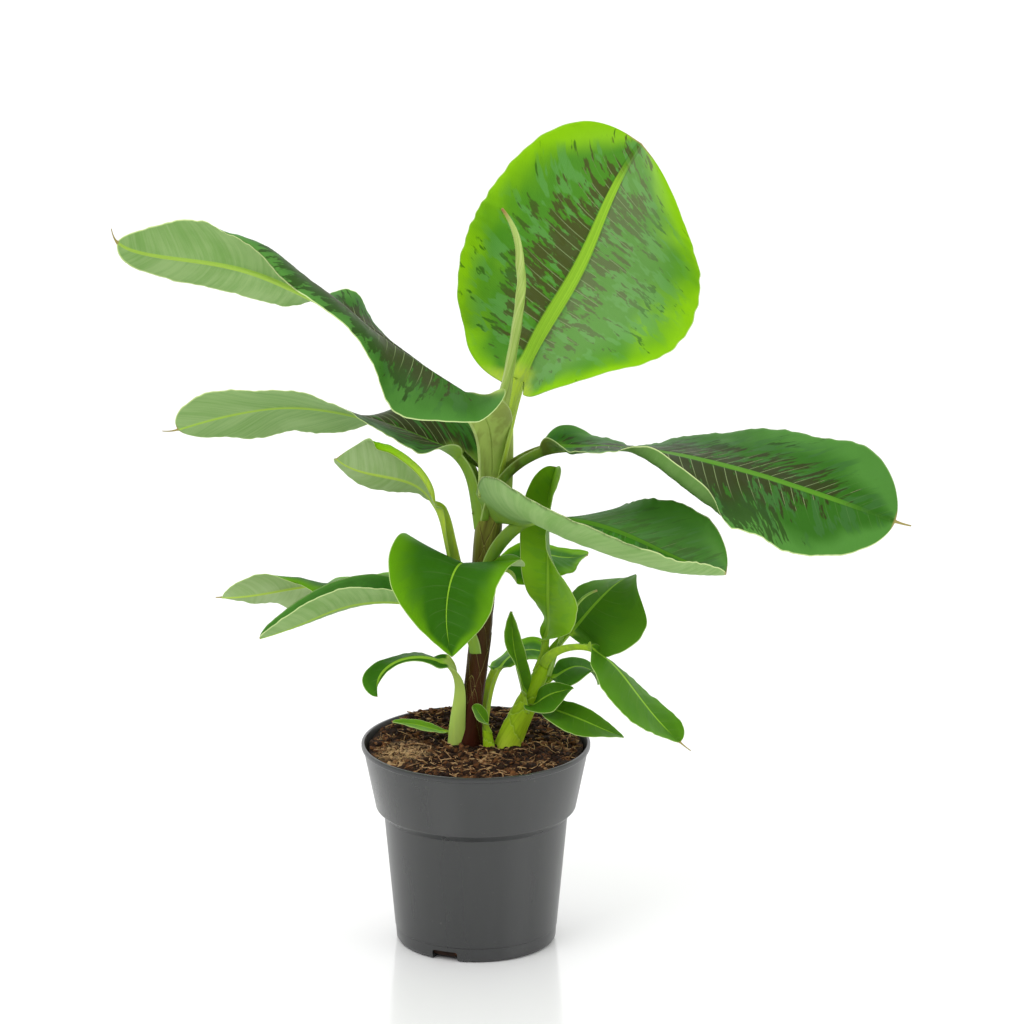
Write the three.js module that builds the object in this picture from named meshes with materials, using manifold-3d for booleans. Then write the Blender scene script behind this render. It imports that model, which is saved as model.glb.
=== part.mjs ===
// Young potted banana plant: a leaning leaf-sheath stem with its spiral of broad leaves,
// a bright green sucker and a small shoot beside it, in a plain 17 cm nursery pot.
// Millimetres, +Z up. The origin is the centre of the pot's flat underside.

import * as THREE from 'three';
import { mergeVertices } from 'three/addons/utils/BufferGeometryUtils.js';
import Module from 'manifold-3d';

const wasm = await Module();
wasm.setup();

// Driving dimensions of the pot
const POT_HEIGHT = 153;
const RIM_RADIUS = 85;
const COLLAR_HEIGHT = 49;
const COLLAR_FOOT_RADIUS = 74.5;
const STEP_DROP = 6;
const BODY_TOP_RADIUS = 68.5;
const BASE_RADIUS = 59.5;
const BASE_ROUND = 3;
const WALL = 1.6;
const FLOOR = 2;
const RIM_LIP = 2.5;
const RIM_LIP_DEPTH = 4;
const EDGE_ROUND = 0.8;
const POT_SEGMENTS = 40;
const NOTCH_COUNT = 3;
const NOTCH_WIDTH = 20;
const NOTCH_HEIGHT = 7.5;
const NOTCH_DEPTH = 9;
const NOTCH_AZIMUTH = 247;

// Driving dimensions of the soil
const SOIL_EDGE_DROP = 4;
const SOIL_EDGE_PLAY = 1;
const SOIL_HEAP = 4;
const SOIL_RUFFLE = 1.3;
const RUFFLE_LENGTHS = [7, 6, 4.3];
const SOIL_RINGS = 5;

// Clearance between neighbouring solids, and the finest detail that a cut may leave
const GAP = 0.3;
const SLIVER = 0.02;

// Leaf build: steps along a leaf's spine, blade thickness against its length, ribs
const SPINE_STEPS = 60;
const BLADE_THICKNESS_RATIO = 1 / 95;
const THINNEST_BLADE = 1.8;
const STALK_THICKNESS_RATIO = 0.5;
const RIB_DEPTH_RATIO = 1 / 90;
const TIP_HALF_WIDTH = 1.2;
const TAIL_HALF_WIDTH = 0.9;

// Finishes
const POT_GREY = { color: 0x4b4f54, roughness: 0.42, metalness: 0 };
const PEAT_BROWN = { color: 0x4a3020, roughness: 0.97, metalness: 0 };
const STEM_BROWN = { color: 0x6a4a35, roughness: 0.55, metalness: 0 };
const SHOOT_GREEN = { color: 0x9cc43c, roughness: 0.5, metalness: 0 };
const LEAF_GREEN = { color: 0x3f8a1e, roughness: 0.45, metalness: 0 };
const DARK_GREEN = { color: 0x2c6a24, roughness: 0.42, metalness: 0 };
const SPEAR_GREEN = { color: 0xc3d670, roughness: 0.5, metalness: 0 };

const { clamp, degToRad, lerp, smoothstep } = THREE.MathUtils;

// Smooth value at t (0 to 1) through evenly spaced stations, as a Catmull-Rom curve
function along(stations, t) {
  const last = stations.length - 1;
  if (last === 0) return stations[0];
  const x = clamp(t, 0, 1) * last;
  const i = Math.min(Math.floor(x), last - 1);
  const f = x - i;
  const p1 = stations[i];
  const p2 = stations[i + 1];
  const p0 = i > 0 ? stations[i - 1] : 2 * p1 - p2;
  const p3 = i < last - 1 ? stations[i + 2] : 2 * p2 - p1;
  const linear = (p2 - p0) * f;
  const square = (2 * p0 - 5 * p1 + 4 * p2 - p3) * f * f;
  const cube = (3 * p1 - p0 - 3 * p2 + p3) * f ** 3;
  return (2 * p1 + linear + square + cube) / 2;
}

// Directions at place s of a growing axis: forward, to its left, and out of its upper face
function heading(axis, s) {
  const a = degToRad(along(axis.azimuth, s));
  const p = degToRad(along(axis.pitch, s));
  const r = degToRad(along(axis.roll ?? [0], s));
  const forward = new THREE.Vector3(Math.cos(p) * Math.cos(a), Math.cos(p) * Math.sin(a), Math.sin(p));
  const level = new THREE.Vector3(-Math.sin(a), Math.cos(a), 0);
  const up = forward.clone().cross(level);
  const left = level.clone().multiplyScalar(Math.cos(r)).addScaledVector(up, Math.sin(r));
  const face = up.clone().multiplyScalar(Math.cos(r)).addScaledVector(level, -Math.sin(r));
  return { forward, left, face };
}

// The points that a growing axis passes, from its root on
function spine(axis) {
  const step = axis.length / SPINE_STEPS;
  const points = [new THREE.Vector3(...axis.root)];
  for (let i = 0; i < SPINE_STEPS; i++) {
    const { forward } = heading(axis, (i + 0.5) / SPINE_STEPS);
    points.push(points[i].clone().addScaledVector(forward, step));
  }
  return points;
}

// Points round a circle in the plane of two directions, from a little past the first towards the second
function circle(centre, first, second, radius, count) {
  return Array.from({ length: count }, (_, k) => {
    const angle = (2 * Math.PI * (k + 0.5)) / count;
    return centre.clone()
      .addScaledVector(first, radius * Math.cos(angle))
      .addScaledVector(second, radius * Math.sin(angle));
  });
}

// A closed body through rings of equal point count, with a fan over each end
function loft(rings) {
  const count = rings[0].length;
  const positions = [];
  const index = [];
  rings.forEach((ring) => ring.forEach((p) => positions.push(p.x, p.y, p.z)));
  for (let k = 0; k + 1 < rings.length; k++) {
    for (let i = 0; i < count; i++) {
      const j = (i + 1) % count;
      const a = k * count + i;
      const b = k * count + j;
      index.push(a, b, b + count, a, b + count, a + count);
    }
  }
  const cap = (ring, start, flip) => {
    const middle = ring.reduce((sum, p) => sum.add(p), new THREE.Vector3()).divideScalar(count);
    const centre = positions.length / 3;
    positions.push(middle.x, middle.y, middle.z);
    for (let i = 0; i < count; i++) {
      const a = start + i;
      const b = start + ((i + 1) % count);
      if (flip) index.push(centre, a, b);
      else index.push(centre, b, a);
    }
  };
  cap(rings[0], 0, false);
  cap(rings[rings.length - 1], (rings.length - 1) * count, true);
  const geometry = new THREE.BufferGeometry();
  geometry.setAttribute('position', new THREE.Float32BufferAttribute(positions, 3));
  geometry.setIndex(index);
  return geometry;
}

function toSolid(geometry) {
  const bare = geometry.clone();
  bare.deleteAttribute('normal');
  bare.deleteAttribute('uv');
  const merged = mergeVertices(bare, 1e-4);
  return new wasm.Manifold(new wasm.Mesh({
    numProp: 3,
    vertProperties: new Float32Array(merged.attributes.position.array),
    triVerts: new Uint32Array(merged.index.array),
  }));
}

function toGeometry(solid) {
  const { vertProperties, triVerts } = solid.getMesh();
  const geometry = new THREE.BufferGeometry();
  geometry.setAttribute('position', new THREE.BufferAttribute(vertProperties, 3));
  geometry.setIndex(new THREE.BufferAttribute(triVerts, 1));
  geometry.computeVertexNormals();
  return geometry;
}

// Share of a blade's widest half-width at place t: blunt exponents round off its two ends
function bladeOutline(t, [baseBlunt, tipBlunt]) {
  const widest = baseBlunt / (baseBlunt + tipBlunt);
  return (t / widest) ** baseBlunt * ((1 - t) / (1 - widest)) ** tipBlunt;
}

// Degrees that a leaf's turned margins add to one half of its section, at t along and u across
function marginTurn(leaf, sideIndex, t, u) {
  return leaf.turned.filter(({ side }) => side === sideIndex).reduce((sum, stretch) => {
    const { start, end, ease, inner, turn } = stretch;
    const lengthwise = smoothstep(t, start, start + ease) * (1 - smoothstep(t, end - ease, end));
    return sum + turn * lengthwise * smoothstep(u, inner, lerp(inner, 1, 0.75));
  }, 0);
}

// One half of a leaf's section, from the midrib out to the margin, as points with their half-thickness
function halfSection(leaf, s, sideIndex, grow) {
  const t = clamp((s - leaf.stalk) / (1 - leaf.stalk), 0, 1);
  const stalkShare = 1 - smoothstep(t, 0, leaf.runOut);
  const blade = leaf.width[sideIndex] * bladeOutline(t, leaf.blunt);
  const stalk = along(leaf.stalkWidth, s / leaf.stalk) * (1 - t) ** 2;
  const width = Math.max(s > leaf.stalk ? blade : 0, stalk, TIP_HALF_WIDTH) + grow;
  const stalkFold = leaf.stalkFold[sideIndex] ?? leaf.stalkFold;
  const fold = along(leaf.fold[sideIndex], t);
  const curl = along(leaf.curl[sideIndex], t);
  const turnAt = (u) => degToRad(lerp(fold + curl * u + marginTurn(leaf, sideIndex, t, u), stalkFold, stalkShare));
  const lobe = s > leaf.stalk ? leaf.lobe[sideIndex] * (1 - t) ** 4 : 0;
  const bladeHalf = Math.max(leaf.length * BLADE_THICKNESS_RATIO, THINNEST_BLADE) / 2;
  const stalkHalf = (leaf.stalkWidth[1] * STALK_THICKNESS_RATIO) / 2;
  const points = [];
  let out = 0;
  let rise = 0;
  for (let j = 0; j <= leaf.across; j++) {
    const u = j / leaf.across;
    const turn = turnAt(u);
    const half = lerp(bladeHalf, stalkHalf * (1 - u / 2), stalkShare) + grow;
    points.push({ out, rise, turn, half, back: lobe * u * u });
    const next = turnAt(u + 0.5 / leaf.across);
    out += (Math.cos(next) * width) / leaf.across;
    rise += (Math.sin(next) * width) / leaf.across;
  }
  return { points, rib: leaf.length * RIB_DEPTH_RATIO * (1 - t) };
}

// The ring of points round a leaf's section: over the upper face and back along the underside
function leafRing(leaf, s, origin, grow) {
  const { forward, left, face } = heading(leaf, s);
  const place = ({ out, rise, turn, half, back }, side, lift) => origin.clone()
    .addScaledVector(left, side * (out - lift * half * Math.sin(turn)))
    .addScaledVector(face, rise + lift * half * Math.cos(turn))
    .addScaledVector(forward, -back);
  const halves = [halfSection(leaf, s, 0, grow), halfSection(leaf, s, 1, grow)];
  const middle = { ...halves[0].points[0], turn: 0 };
  const outwards = (i, side, lift) => halves[i].points.slice(1).map((p) => place(p, side, lift));
  return [
    ...outwards(0, 1, 1).reverse(),
    place(middle, 1, 1),
    ...outwards(1, -1, 1),
    ...outwards(1, -1, -1).reverse(),
    place({ ...middle, half: middle.half + halves[0].rib }, 1, -1),
    ...outwards(0, 1, -1),
  ];
}

// A whole leaf: stalk, blade and, on some, the thread-like tail at its tip
function leafSolid(leaf, grow = 0) {
  const points = spine(leaf);
  const every = SPINE_STEPS / leaf.sections;
  const rings = [];
  points[0].addScaledVector(heading(leaf, 0).forward, -grow);
  points[SPINE_STEPS].addScaledVector(heading(leaf, 1).forward, grow);
  for (let i = 0; i <= SPINE_STEPS; i += every) {
    rings.push(leafRing(leaf, i / SPINE_STEPS, points[i], grow));
  }
  if (leaf.tail) {
    const { forward, left, face } = heading(leaf, 1);
    const end = points[SPINE_STEPS].clone().addScaledVector(forward, leaf.tail);
    rings.push(circle(end, left, face, TAIL_HALF_WIDTH + grow, rings[0].length));
  }
  return toSolid(loft(rings));
}

// A round tapering stem along its own leaning axis
function stemSolid(stem, grow = 0) {
  const points = spine(stem);
  const every = SPINE_STEPS / stem.sections;
  const rings = [];
  points[0].addScaledVector(heading(stem, 0).forward, -grow);
  points[SPINE_STEPS].addScaledVector(heading(stem, 1).forward, grow);
  for (let i = 0; i <= SPINE_STEPS; i += every) {
    const s = i / SPINE_STEPS;
    const { left, face } = heading(stem, s);
    const ring = circle(points[i], left, face, along(stem.radius, s) + grow, stem.sides);
    if (i === 0) ring.forEach((p) => p.setZ(points[0].z));
    rings.push(ring);
  }
  return toSolid(loft(rings));
}

// Stems: root, length, headings in degrees and radii at even stations from the foot up
const STEMS = [
  {
    name: 'stem_main',
    root: [-7, 0, 146],
    length: 208,
    azimuth: [0],
    pitch: [84, 82, 87, 85, 82],
    radius: [12.5, 9, 9, 10.5, 13, 13.5, 11],
    sides: 12,
    sections: 12,
    finish: STEM_BROWN,
  },
  {
    name: 'stem_sucker',
    root: [22, -4, 145],
    length: 74,
    azimuth: [0],
    pitch: [74, 67, 66, 60],
    radius: [10.5, 9.5, 8.5, 6.5],
    sides: 12,
    sections: 6,
    finish: SHOOT_GREEN,
  },
  {
    name: 'stem_shoot',
    root: [11, -13, 146],
    length: 20,
    azimuth: [180],
    pitch: [81, 85],
    radius: [5, 4.2, 3.4],
    sides: 8,
    sections: 3,
    finish: SHOOT_GREEN,
  },
];

// Leaves still rolled up, as round bodies on the same rule
const ROLLED = [
  {
    name: 'leaf_spear',
    root: [15, -7, 375],
    length: 194,
    azimuth: [-30, -34, -9, 0, 176, 173],
    pitch: [80, 81, 80, 83, 85, 52],
    radius: [4.5, 4.5, 4, 3.8, 3.2, 1],
    sides: 8,
    sections: 12,
    finish: SPEAR_GREEN,
  },
  {
    name: 'sucker_tendril',
    root: [54, -7, 207],
    length: 82,
    azimuth: [-38, -35, -29, -9, 0],
    pitch: [71, 70, 68, 58, 16],
    radius: [2.2, 1.6, 1.5, 1.4, 0.9],
    sides: 6,
    sections: 10,
    finish: SHOOT_GREEN,
  },
];

// Open leaves, largest first: a later leaf is cut clear of the earlier ones. Each has its root, its
// length over the curve and the share of it that the stalk takes, then its headings and its roll in
// degrees at even stations. Widths, folds, curls and lobes come in pairs, left then right; the fold
// of a stalk is one number, or such a pair. runOut is the share of the blade where that fold fades.
// Each stretch in turned tips a margin over: on its side, from start to end along the blade, by turn
// degrees from the share inner of the half-width outwards, over the share ease at both its ends.
const PLAIN = { tail: 0, lobe: [0, 0], curl: [[0], [0]], turned: [], runOut: 0.12 };
const LARGE = { ...PLAIN, across: 3, sections: 15 };
const MEDIUM = { ...PLAIN, across: 2, sections: 12 };
const SMALL = { ...PLAIN, across: 1, sections: 10 };
const LEAVES = [
  {
    ...LARGE,
    name: 'leaf_top',
    root: [16, 2, 345],
    length: 284,
    stalk: 0.31,
    azimuth: [-7, 15, 27, 6, -12],
    pitch: [80, 76, 55, 68, 57],
    roll: [20, 20, 50, 55],
    width: [86, 105],
    blunt: [0.35, 0.4],
    fold: [[5, 15, 30], [30, 10, 5]],
    lobe: [8, 8],
    stalkWidth: [11, 9],
    stalkFold: [20, 30],
    finish: LEAF_GREEN,
  },
  {
    ...LARGE,
    name: 'leaf_upper_left',
    root: [12, -8, 342],
    length: 413,
    stalk: 0.25,
    azimuth: [-97, -102, -167, -168, -201, -182, -111],
    pitch: [125, 49, 37, 34, 17, 7, 33],
    roll: [-5, -10, -15, -6, -10, 15, 58, 105, 98, 95, 90],
    width: [64, 42],
    blunt: [0.3, 0.75],
    fold: [[0], [-40, -40, -8, 38, 38, 50, 35, 33, 25]],
    curl: [[-20, -48, -60, -125, -40, -5], [-10, 10, -5]],
    stalkWidth: [16, 17],
    stalkFold: [40, -62],
    runOut: 0.05,
    tail: 16,
    across: 4,
    sections: 30,
    finish: DARK_GREEN,
  },
  {
    ...LARGE,
    name: 'leaf_big_right',
    root: [8, -5, 328],
    length: 336,
    stalk: 0.2,
    azimuth: [2, -12, 0, -3, -10],
    pitch: [78, 14, -11, -18, -18],
    roll: [25, -10, -30, 5, 65],
    width: [72, 69],
    blunt: [0.6, 0.55],
    fold: [[22, 10, 11, 23, 23, 19, 8, 10, 10], [-15, -10, -15, -38, -44, -27, -20, 0, 15]],
    stalkWidth: [12, 8],
    stalkFold: 50,
    tail: 12,
    across: 4,
    sections: 20,
    turned: [
      { side: 1, start: -0.15, end: 0.2, inner: 0.8, turn: 45, ease: 0.12 },
      { side: 1, start: 0.22, end: 0.56, inner: 0.72, turn: 115, ease: 0.12 },
    ],
    finish: DARK_GREEN,
  },
  {
    ...LARGE,
    name: 'leaf_middle_left',
    root: [1, 1, 318],
    length: 280,
    stalk: 0.2,
    azimuth: [170, 170, 165, 165, 165],
    pitch: [84, 76, 30, 17, 8, 0, -12, -18, -22],
    roll: [0, 0, 0, 10, 24, 32, 35, 52, 60],
    width: [40, 50],
    blunt: [0.35, 0.45],
    fold: [[-10, 0, 5], [25, 28, 25, 2, -6, -5, -1, 13, 20]],
    lobe: [0, 30],
    curl: [[0, 0, 0], [0, 0, 0]],
    stalkWidth: [11, 9],
    stalkFold: 50,
    tail: 12,
    sections: 20,
    finish: DARK_GREEN,
  },
  {
    ...MEDIUM,
    name: 'leaf_back',
    root: [10, 6, 338],
    length: 262,
    stalk: 0.33,
    azimuth: [55, 60, 75, 80, 80],
    pitch: [80, 65, 35, 0, -30],
    roll: [0],
    width: [38, 38],
    blunt: [0.4, 0.5],
    fold: [[20, 15, 10], [20, 15, 10]],
    stalkWidth: [10, 7],
    stalkFold: 50,
    finish: DARK_GREEN,
  },
  {
    ...LARGE,
    name: 'leaf_rolled_right',
    root: [11, -6, 290],
    length: 219,
    stalk: 0.21,
    azimuth: [7, -48, -26, -1, -9],
    pitch: [68, 29, -5, -27, -9],
    roll: [5, -5, 20, 25, 10],
    width: [57, 72],
    blunt: [0.3, 0.45],
    fold: [[-25, -10, 50], [-5, -15, 5]],
    curl: [[0, -15, 20], [120, 110, 65]],
    lobe: [0, 30],
    stalkWidth: [11, 8],
    stalkFold: [10, 60],
    runOut: 0.07,
    finish: DARK_GREEN,
  },
  {
    ...MEDIUM,
    name: 'leaf_short_left',
    root: [-12, -9, 272],
    length: 156,
    stalk: 0.41,
    azimuth: [180, 185, 190, 190, 190],
    pitch: [74, 78, 78, 77, 70, 54, 28, 14, 14, 24, 44],
    roll: [-60, -60, -60, -55, -30, 10, 40, 60, 72, 75, 75],
    width: [38, 19],
    blunt: [0.75, 0.38],
    fold: [[0, 0, 0, -10], [-40, -10, 10, 35, 60]],
    stalkWidth: [9, 7],
    stalkFold: 60,
    across: 3,
    sections: 20,
    turned: [
      { side: 0, start: 0.05, end: 0.95, inner: 0.66, turn: -125, ease: 0.25 },
    ],
    finish: LEAF_GREEN,
  },
  {
    ...LARGE,
    name: 'leaf_front',
    root: [1, -5, 270],
    length: 122,
    stalk: 0.22,
    azimuth: [-112, -109, -118, -92, -43],
    pitch: [40, 54, -45, -66, -68],
    roll: [15, 5, 0, -5],
    width: [49, 50],
    blunt: [0.3, 0.75],
    fold: [[-5, 20, 25], [10, 35, 25]],
    lobe: [6, 10],
    stalkWidth: [9, 6],
    stalkFold: 45,
    finish: LEAF_GREEN,
  },
  {
    ...MEDIUM,
    name: 'leaf_low_left_back',
    root: [2, 2, 232],
    length: 219,
    stalk: 0.3,
    azimuth: [156, 158, 168, 182, 121],
    pitch: [64, 9, 0, -11, -15],
    roll: [0, 5, 5, 0, 0, 5, 25, 72, 82, 75, 70],
    width: [38, 46],
    blunt: [0.45, 1.0],
    fold: [[0], [0, -5, -8, 8, 25, 47, 41, 40]],
    curl: [[-5, -10, -15, -50, -95, -50, -30, -20], [10, 0]],
    stalkWidth: [8, 6],
    stalkFold: 45,
    tail: 10,
    across: 3,
    sections: 20,
    finish: DARK_GREEN,
  },
  {
    ...MEDIUM,
    name: 'leaf_low_left_front',
    root: [-3, -6, 224],
    length: 188,
    stalk: 0.28,
    azimuth: [-167, -152, -175, -161, -177],
    pitch: [84, 29, 0, -18, -16],
    roll: [10, 35, 45, 55, 35],
    width: [24, 43],
    blunt: [0.45, 0.55],
    fold: [[-10, 0, 10], [5, 5, 15]],
    curl: [[-10, 0, 0], [85, 125, 60]],
    stalkWidth: [8, 6],
    stalkFold: 45,
    finish: DARK_GREEN,
  },
  {
    ...MEDIUM,
    name: 'leaf_right_back',
    root: [7, 4, 262],
    length: 116,
    stalk: 0.3,
    azimuth: [63, 69, 33, 34, -16],
    pitch: [64, 4, 13, -20, 23],
    roll: [20, 35, 10],
    width: [16, 27],
    blunt: [0.5, 0.35],
    fold: [[-15, -5, -5], [-25, 5, 10]],
    curl: [[-5, 0, 5], [-5, 0, 10]],
    stalkWidth: [8, 6],
    stalkFold: 45,
    finish: LEAF_GREEN,
  },
  {
    ...MEDIUM,
    name: 'leaf_right_low',
    root: [4, 8, 150],
    length: 107,
    stalk: 0.5,
    azimuth: [37, 47, 54, 32, 29],
    pitch: [66, 79, 47, 5, -41],
    roll: [-10, -15, 30],
    width: [22, 15],
    blunt: [0.45, 0.45],
    fold: [[-5, -20, 20], [0, -5, 0]],
    stalkWidth: [8, 6],
    stalkFold: 50,
    finish: LEAF_GREEN,
  },
  {
    ...MEDIUM,
    name: 'leaf_small_left',
    root: [-15, -9, 149],
    length: 146,
    stalk: 0.5,
    azimuth: [-90, -112, -146, -179, -75],
    pitch: [82, 100, 39, -20, -64],
    roll: [-5, -30, -40, -45],
    width: [3, 15],
    blunt: [0.6, 0.45],
    fold: [[-40, -45, -50], [-40, -45, -30]],
    stalkWidth: [7, 7.5],
    stalkFold: [25, 25],
    finish: LEAF_GREEN,
  },
  {
    ...MEDIUM,
    name: 'sucker_leaf_tall',
    root: [49, -2, 207],
    length: 157,
    stalk: 0.16,
    azimuth: [-7, 46, 92, 87, 52],
    pitch: [75, 89, 86, 75, 56],
    roll: [-20, -15, -35, -5],
    width: [21, 50],
    blunt: [0.5, 0.4],
    fold: [[-25, 25, 30], [-10, 55, 40]],
    curl: [[-20, 5, 5], [-20, 5, 0]],
    stalkWidth: [8, 5],
    stalkFold: 60,
    finish: LEAF_GREEN,
  },
  {
    ...MEDIUM,
    name: 'sucker_leaf_round',
    root: [52, -1, 210],
    length: 99,
    stalk: 0.33,
    azimuth: [32, 12, 6, 26, 8],
    pitch: [65, 48, 51, 36, 16],
    roll: [30, 20, -15],
    width: [32, 52],
    blunt: [0.3, 0.4],
    fold: [[10, -5, -10], [-5, -15, 0]],
    stalkWidth: [7, 4],
    stalkFold: 45,
    finish: DARK_GREEN,
  },
  {
    ...MEDIUM,
    name: 'sucker_leaf_drooping',
    root: [51, -5, 208],
    length: 149,
    stalk: 0.34,
    azimuth: [-68, -25, -20, -11, -31],
    pitch: [67, 17, -43, -52, -32],
    roll: [-20, -10, 5],
    width: [22, 35],
    blunt: [0.45, 0.45],
    fold: [[-15, 5, 25], [-5, -10, 25]],
    curl: [[-20, -10, 5], [-15, -10, 0]],
    stalkWidth: [7, 5],
    stalkFold: 45,
    tail: 10,
    finish: LEAF_GREEN,
  },
  {
    ...SMALL,
    name: 'sucker_leaf_upright',
    root: [37, -11, 180],
    length: 77,
    stalk: 0.17,
    azimuth: [173, 161, 164, 118, 106],
    pitch: [90, 75, 78, 81, 80],
    roll: [-15, -15, -10],
    width: [14, 9],
    blunt: [0.3, 0.7],
    fold: [[35, 35, 40], [45, 35, 40]],
    stalkWidth: [6, 5],
    stalkFold: 50,
    finish: LEAF_GREEN,
  },
  {
    ...SMALL,
    name: 'sucker_leaf_low',
    root: [35, -5, 181],
    length: 82,
    stalk: 0.2,
    azimuth: [-28, -27, -11, -13, 2],
    pitch: [26, -6, -18, -21, -20],
    roll: [10, 15, 5],
    width: [12, 21],
    blunt: [0.4, 0.55],
    fold: [[20, 20, 10], [20, 0, 20]],
    stalkWidth: [6, 4],
    stalkFold: 45,
    finish: LEAF_GREEN,
  },
  {
    ...SMALL,
    name: 'sucker_leaf_behind',
    root: [45, 1, 190],
    length: 63,
    stalk: 0.27,
    azimuth: [14, -7, 35, 22, 19],
    pitch: [42, 43, 10, -27, -53],
    roll: [25, 20, 35],
    width: [12, 21],
    blunt: [0.35, 0.5],
    fold: [[0, 0, -5], [-15, 30, 0]],
    stalkWidth: [5, 4],
    stalkFold: 45,
    finish: DARK_GREEN,
  },
  {
    ...SMALL,
    name: 'sucker_leaf_curled',
    root: [39, -8, 178],
    length: 44,
    stalk: 0.2,
    azimuth: [-50, -39, -13, -1, 6],
    pitch: [47, 45, 36, 13, 19],
    roll: [10, 30, 10],
    width: [9, 20],
    blunt: [0.4, 0.55],
    fold: [[30, 30, 20], [30, 5, 30]],
    stalkWidth: [5, 4],
    stalkFold: 45,
    finish: DARK_GREEN,
  },
  {
    ...SMALL,
    name: 'leaf_on_soil',
    root: [-16, 4, 156],
    length: 51,
    stalk: 0.15,
    azimuth: [-156, -159, -160, -166, -165],
    pitch: [28, 21, 21, 12, 11],
    roll: [-5, -10, -5],
    width: [11, 6],
    blunt: [0.4, 0.5],
    fold: [[15, 10, 20], [20, 20, 20]],
    stalkWidth: [4, 3],
    stalkFold: 30,
    finish: LEAF_GREEN,
  },
  {
    ...SMALL,
    name: 'shoot_leaf',
    root: [9, -14, 164],
    length: 25,
    stalk: 0.3,
    azimuth: [-149, -165, -182, -189, -200],
    pitch: [74, 74, 58, 57, 45],
    roll: [-5, -15, -15],
    width: [12, 7],
    blunt: [0.4, 0.5],
    fold: [[30, 15, 25], [30, 25, 30]],
    stalkWidth: [4, 3],
    stalkFold: 50,
    finish: SHOOT_GREEN,
  },
];

// Pot: a turned wall and floor on one closed profile, with drainage notches in the foot
function potSolid() {
  const collarFoot = POT_HEIGHT - COLLAR_HEIGHT;
  const bodyTop = collarFoot - STEP_DROP;
  const lipFoot = POT_HEIGHT - RIM_LIP_DEPTH;
  const profile = [
    [0, 0],
    [BASE_RADIUS - BASE_ROUND, 0],
    [BASE_RADIUS - BASE_ROUND * 0.3, BASE_ROUND * 0.3],
    [BASE_RADIUS, BASE_ROUND],
    [BODY_TOP_RADIUS, bodyTop],
    [COLLAR_FOOT_RADIUS - EDGE_ROUND, collarFoot - EDGE_ROUND],
    [COLLAR_FOOT_RADIUS, collarFoot],
    [RIM_RADIUS - RIM_LIP * 0.6, lipFoot],
    [RIM_RADIUS, lipFoot + EDGE_ROUND],
    [RIM_RADIUS, POT_HEIGHT - EDGE_ROUND],
    [RIM_RADIUS - EDGE_ROUND, POT_HEIGHT],
    [RIM_RADIUS - RIM_LIP, POT_HEIGHT],
    [COLLAR_FOOT_RADIUS - WALL, collarFoot],
    [BODY_TOP_RADIUS - WALL, bodyTop],
    [BASE_RADIUS - WALL, FLOOR + BASE_ROUND],
    [BASE_RADIUS - WALL - BASE_ROUND, FLOOR],
    [0, FLOOR],
  ];
  const points = profile.map(([x, z]) => new THREE.Vector2(x, z));
  let pot = toSolid(new THREE.LatheGeometry(points, POT_SEGMENTS).rotateX(Math.PI / 2));
  for (let k = 0; k < NOTCH_COUNT; k++) {
    const angle = degToRad(NOTCH_AZIMUTH + (360 / NOTCH_COUNT) * k);
    const notch = new THREE.BoxGeometry(NOTCH_DEPTH * 2, NOTCH_WIDTH, NOTCH_HEIGHT * 2)
      .translate(BASE_RADIUS, 0, 0)
      .rotateZ(angle);
    pot = pot.subtract(toSolid(notch));
  }
  return pot;
}

// Height of the soil's surface over the plan: near the rim all round, a little heaped, and crumbly
function soilHeight(x, y) {
  const reach = Math.hypot(x, y) / RIM_RADIUS;
  const heap = SOIL_HEAP * (1 - reach ** 2);
  const [first, second, third] = RUFFLE_LENGTHS;
  const ruffle = Math.sin(x / first + 1) * Math.cos(y / second) + Math.sin((x + y) / third);
  return POT_HEIGHT - SOIL_EDGE_DROP + heap + SOIL_RUFFLE * ruffle * reach;
}

// Soil: fills the pot from its floor to the crumbly surface, clear of the wall
function soilSolid() {
  const collarFoot = POT_HEIGHT - COLLAR_HEIGHT;
  const inner = WALL + GAP;
  const floor = FLOOR + GAP;
  const share = 1 - (SOIL_EDGE_DROP + SOIL_HEAP) / COLLAR_HEIGHT;
  const wallRadius = lerp(COLLAR_FOOT_RADIUS - WALL, RIM_RADIUS - RIM_LIP, share);
  const topRadius = wallRadius - GAP - SOIL_EDGE_PLAY;
  const level = (radius, height) => {
    const centre = new THREE.Vector3(0, 0, height);
    return circle(centre, new THREE.Vector3(1, 0, 0), new THREE.Vector3(0, 1, 0), radius, POT_SEGMENTS);
  };
  const rings = [
    level(BASE_RADIUS - inner - BASE_ROUND, floor),
    level(BASE_RADIUS - inner, floor + BASE_ROUND),
    level(BODY_TOP_RADIUS - inner, collarFoot - STEP_DROP),
    level(COLLAR_FOOT_RADIUS - inner, collarFoot + GAP),
  ];
  for (let k = 0; k < SOIL_RINGS; k++) {
    const ring = level(topRadius * (1 - k / SOIL_RINGS), 0);
    ring.forEach((p) => p.setZ(soilHeight(p.x, p.y)));
    rings.push(ring);
  }
  return toSolid(loft(rings));
}

// The largest of a solid's separate pieces
function largest(solid) {
  return solid.decompose().reduce((best, piece) => (piece.volume() > best.volume() ? piece : best));
}

// Whether the boxes round two solids are clear of each other
function apart(first, second) {
  const a = first.boundingBox();
  const b = second.boundingBox();
  return [0, 1, 2].some((axis) => a.max[axis] < b.min[axis] || b.max[axis] < a.min[axis]);
}

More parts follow.
